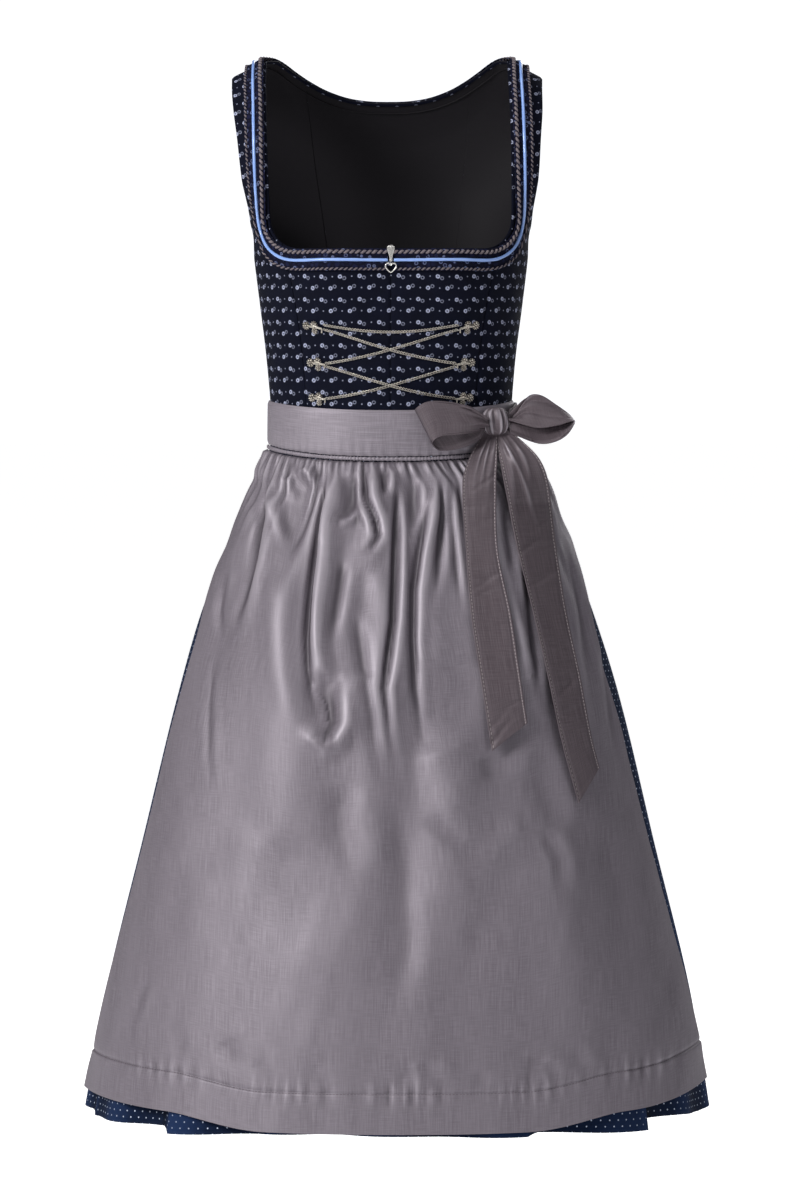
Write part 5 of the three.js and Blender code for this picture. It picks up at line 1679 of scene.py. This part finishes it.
def bow_loop(name, stations, seed):
    """A folded ribbon through its stations, with creases that fan out from the knot."""
    table = np.array(stations, float)
    middle = table.mean(axis=1)
    keys = np.concatenate([[0], np.cumsum(np.linalg.norm(np.diff(middle, axis=0), axis=1))])
    upper, lower = through(keys, table[:, 0]), through(keys, table[:, 1])
    u, v = np.meshgrid(edged(130, keys[-1]), edged(24, 30))
    along = u * keys[-1]

    def surface(at, across):
        return upper(at) * across[..., None] + lower(at) * (1 - across)[..., None]

    safe = np.clip(along, 1, keys[-1] - 1)
    normal = unit(np.cross(surface(safe + 0.8, v) - surface(safe - 0.8, v), upper(safe) - lower(safe)))
    from_knot = np.minimum(along, keys[-1] - along)
    turn = np.random.default_rng(seed)
    ripple = 0 * u
    for k in range(9):
        place, lean = turn.uniform(0.05, 0.95), turn.uniform(-0.006, 0.006)
        width, depth, reach = turn.uniform(0.05, 0.1), turn.uniform(1.2, 2.8), turn.uniform(14, 40)
        centre = 0.5 + (place - 0.5) * mix(0.8, 1.0, smooth(0, 30, from_knot)) + lean * from_knot
        ripple = ripple - depth * hump(v - centre, width) * hump(from_knot, reach)
    soft = 0.5 * row_noise(seed + 1, along, v * 30, 16, 14)
    edge = -0.35 * (hump(v - 0.08, 0.025) + hump(v - 0.92, 0.025))
    points = surface(along, v) + normal * (ripple + soft + edge)[..., None]
    sew("ribbon_" + name, points, [ribbon], RIBBON_WALL, "satin_taffeta", [name], "folded", ["ribbon_knot"],
        folds=[(9, 1.6)], offset=0.0)


bow_loop("bow_loop_right", RIGHT_LOOP, 41)
bow_loop("bow_loop_left", LEFT_LOOP, 47)

# %% knot
turn = np.linspace(0, 2 * math.pi, 97)[None, :]
tilt = np.linspace(-math.pi / 2, math.pi / 2, 61)[:, None]
pleats = 0.07 * np.sin(9 * turn + 1.2 * np.sin(2 * tilt)) + 0.035 * np.sin(17 * turn + 2 + tilt)
size = 1 + pleats * np.cos(tilt) ** 0.5 - 0.03
knot_x = 104 + 13.2 * size * np.sign(np.cos(turn)) * np.abs(np.cos(turn)) ** 0.85 * np.cos(tilt) ** 0.7
knot_y = -76 + 9 * size * np.sin(turn) * np.cos(tilt) ** 0.6
knot_z = -362.5 + 14 * np.sign(np.sin(tilt)) * np.abs(np.sin(tilt)) ** 0.85 + 0 * turn
knot_points = np.stack(np.broadcast_arrays(knot_x, knot_y, knot_z), axis=-1)
knot = close_seams(laid("ribbon_knot", knot_points, [ribbon], folds=[(4, 0.6)]))
settle(knot, "satin_taffeta", "bow_knot")

# %% tails
# Height and sideways place of the two edges: first the edge nearer the centre line, then the other.
TAILS = {
    "right": [
        (-371, 93, -371, 106),
        (-382, 87, -382, 106),
        (-400, 77, -400, 105.5),
        (-423, 70.6, -423, 104.4),
        (-486, 73.8, -486, 105.3),
        (-548, 78.4, -548, 117.6),
        (-611, 87.8, -611, 126.9),
        (-680, 98.3, -654, 133.4),
    ],
    "left": [
        (-371, 103, -371, 116),
        (-382, 104, -382, 131),
        (-400, 108, -400, 148),
        (-423, 112.3, -423, 157),
        (-486, 125, -486, 164.5),
        (-548, 140, -548, 173.5),
        (-611, 154.4, -611, 186.6),
        (-673, 167.5, -668, 197),
        (-733, 183.7, -701, 205.3),
    ],
}


def tail_depth(x, z, lift):
    """How far forward a tail lies: on the apron, and hung from under the knot higher up."""
    drop = WAIST - np.minimum(z, -445)
    fall = drop - 0.5
    out = apron_out(fall) + lift + broad_folds(x, drop)
    ratio = np.clip((x - skirt_lean(fall)) / (skirt_half(fall) + out), -0.985, 0.985)
    angle = np.sign(ratio) * np.arcsin(np.abs(ratio) ** (SECTION_POWER / 2))
    from_knot = -77 - lift * smooth(-374, -392, z) + 1.5 * smooth(-392, -374, z)
    return mix(hung(angle, drop, out)[..., 1], from_knot, smooth(-445, -381, z))


def bow_tail(side, seed):
    """A hemmed ribbon with long folds from the knot and short slanting creases lower down."""
    table = np.array(TAILS[side], float)
    keys = -(table[:, 0] + table[:, 2]) / 2
    line = through(keys, table)
    rows = edged(190, 300)[::-1]
    v = mix(keys[0], keys[-1], rows)
    u = edged(26, RIBBON_WIDTH)
    row = line(v)
    x = mix(row[:, 1:2], row[:, 3:4], u[None, :])
    z = mix(row[:, 0:1], row[:, 2:3], u[None, :])
    along = np.broadcast_to((v - keys[0])[:, None], x.shape)
    across = np.broadcast_to(u[None, :], x.shape)
    turn = np.random.default_rng(seed)
    lift = 0 * x
    for k in range(8):
        place, width = turn.uniform(0.05, 0.95), turn.uniform(0.05, 0.11)
        depth, reach, lean = turn.uniform(1.2, 3.2), turn.uniform(18, 75), turn.uniform(-0.004, 0.004)
        centre = place + lean * along
        lift = lift + depth * hump(across - centre, width) * hump(along, reach)
    for k in range(16):
        place, slope = turn.uniform(50, 340), turn.uniform(-0.7, 0.2)
        width, depth = turn.uniform(1.6, 3.4), turn.uniform(0.5, 1.3)
        centre, reach = turn.uniform(0.1, 0.9), turn.uniform(0.25, 0.6)
        line_at = (along - place) - slope * (across - 0.5) * RIBBON_WIDTH
        lift = lift - depth * hump(line_at, width) * hump(across - centre, reach)
    for edge in (0.075, 0.925):
        lift = lift - 0.45 * hump(across - edge, 0.022)
    lift = lift + 0.8 * row_noise(seed + 3, across * 40, along, 22, 46) * smooth(0, 60, along)
    lift = lift - 0.3 * hump(along - along.max() + 5, 1.2)
    points = np.stack([x, tail_depth(x, z, 6.4 + lift), z], axis=-1)
    threads = np.stack([(across - 0.5) * RIBBON_WIDTH, along.max() - along], axis=-1)
    sew("ribbon_bow_tail_" + side, points, [edged_ribbon], RIBBON_WALL, "satin_taffeta",
        ["bow_tail_" + side], "hung", ["ribbon_knot", "apron_sheet"], flat=threads, folds=[(7, 1.6)])


bow_tail("right", 61)
bow_tail("left", 67)
for name, width, length, area in sheets_cut:
    print(f"{name}: {width} x {length} mm, {area} square metres")

# %% [markdown]
# ## Studio
# A wide pale floor, soft lights from broad panels, and a camera in front at chest height.
# The camera sees the floor and the sky as white. They light the cloth far less than that.

# %% floor
FLOOR_HEIGHT, FLOOR_REACH = -1385.0, 40000


def white_to_camera(n, more, least):
    """A strength: least for the light on things, and more than that for what the camera sees."""
    return n.math("MULTIPLY_ADD", n.put("ShaderNodeLightPath").outputs["Is Camera Ray"], more, least)


def studio_floor():
    reach = np.linspace(-FLOOR_REACH, FLOOR_REACH, 9)
    points = np.stack(np.broadcast_arrays(reach[None, :], reach[:, None], FLOOR_HEIGHT), axis=-1)
    pale = material("pale floor", Base_Color=(0.86, 0.86, 0.87, 1), Roughness=0.85, Emission_Color=(1, 1, 1, 1))
    n = Nodes(pale.node_tree)
    shader = pale.node_tree.nodes["Principled BSDF"]
    n.tree.links.new(white_to_camera(n, 0.56, 0.34), shader.inputs["Emission Strength"])
    laid("studio_floor", points, [pale])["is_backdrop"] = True


studio_floor()

# %% lights
def soft_light(name, place, aim, size, watts, colour=(1, 1, 1)):
    data = bpy.data.lights.new(name, "AREA")
    data.shape = "RECTANGLE"
    data.size, data.size_y = size
    data.energy = watts
    data.color = colour
    lamp = bpy.data.objects.new(name, data)
    bpy.context.scene.collection.objects.link(lamp)
    lamp.location = place
    lamp.rotation_euler = (Vector(aim) - Vector(place)).to_track_quat("-Z", "Y").to_euler()


middle = (0, 0, -0.65)
soft_light("key", (-2.5, -2.5, 1.15), (0, 0, -0.45), (1.2, 1.4), 128, (1, 0.995, 0.98))
soft_light("fill", (2.8, -2.6, 0.2), middle, (1.6, 2.0), 10, (0.97, 0.98, 1))
soft_light("top", (0, -0.6, 2.4), middle, (2.4, 1.6), 26)
soft_light("rim", (1.2, 3.0, 1.0), middle, (1.8, 1.8), 40)
world = bpy.data.worlds.new("studio")
bpy.context.scene.world = world
world.use_nodes = True
background = world.node_tree.nodes["Background"]
background.inputs["Color"].default_value = (0.96, 0.97, 1.0, 1)
sky = Nodes(world.node_tree)
sky.tree.links.new(white_to_camera(sky, 1.0, 0.12), background.inputs["Strength"])

# %% camera
CAMERA_PITCH = 3.45  # degrees that it looks down
lens = bpy.data.cameras.new("camera")
lens.sensor_fit = "VERTICAL"
lens.sensor_height = 24
lens.lens = 88.8
lens.clip_end = 60
camera = bpy.data.objects.new("camera", lens)
bpy.context.scene.collection.objects.link(camera)
camera.location = (0.009, -4.5, -0.274)
camera.rotation_euler = (math.radians(90 - CAMERA_PITCH), 0, 0)
bpy.context.scene.camera = camera
bpy.context.scene.view_settings.view_transform = "Standard"

# %% sizes and the finish
size_at_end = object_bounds()
for title, (low, high) in (("at load", size_at_load), ("at end", size_at_end)):
    print(title, [round((b - a) * 1000) for a, b in zip(low, high)], "mm")
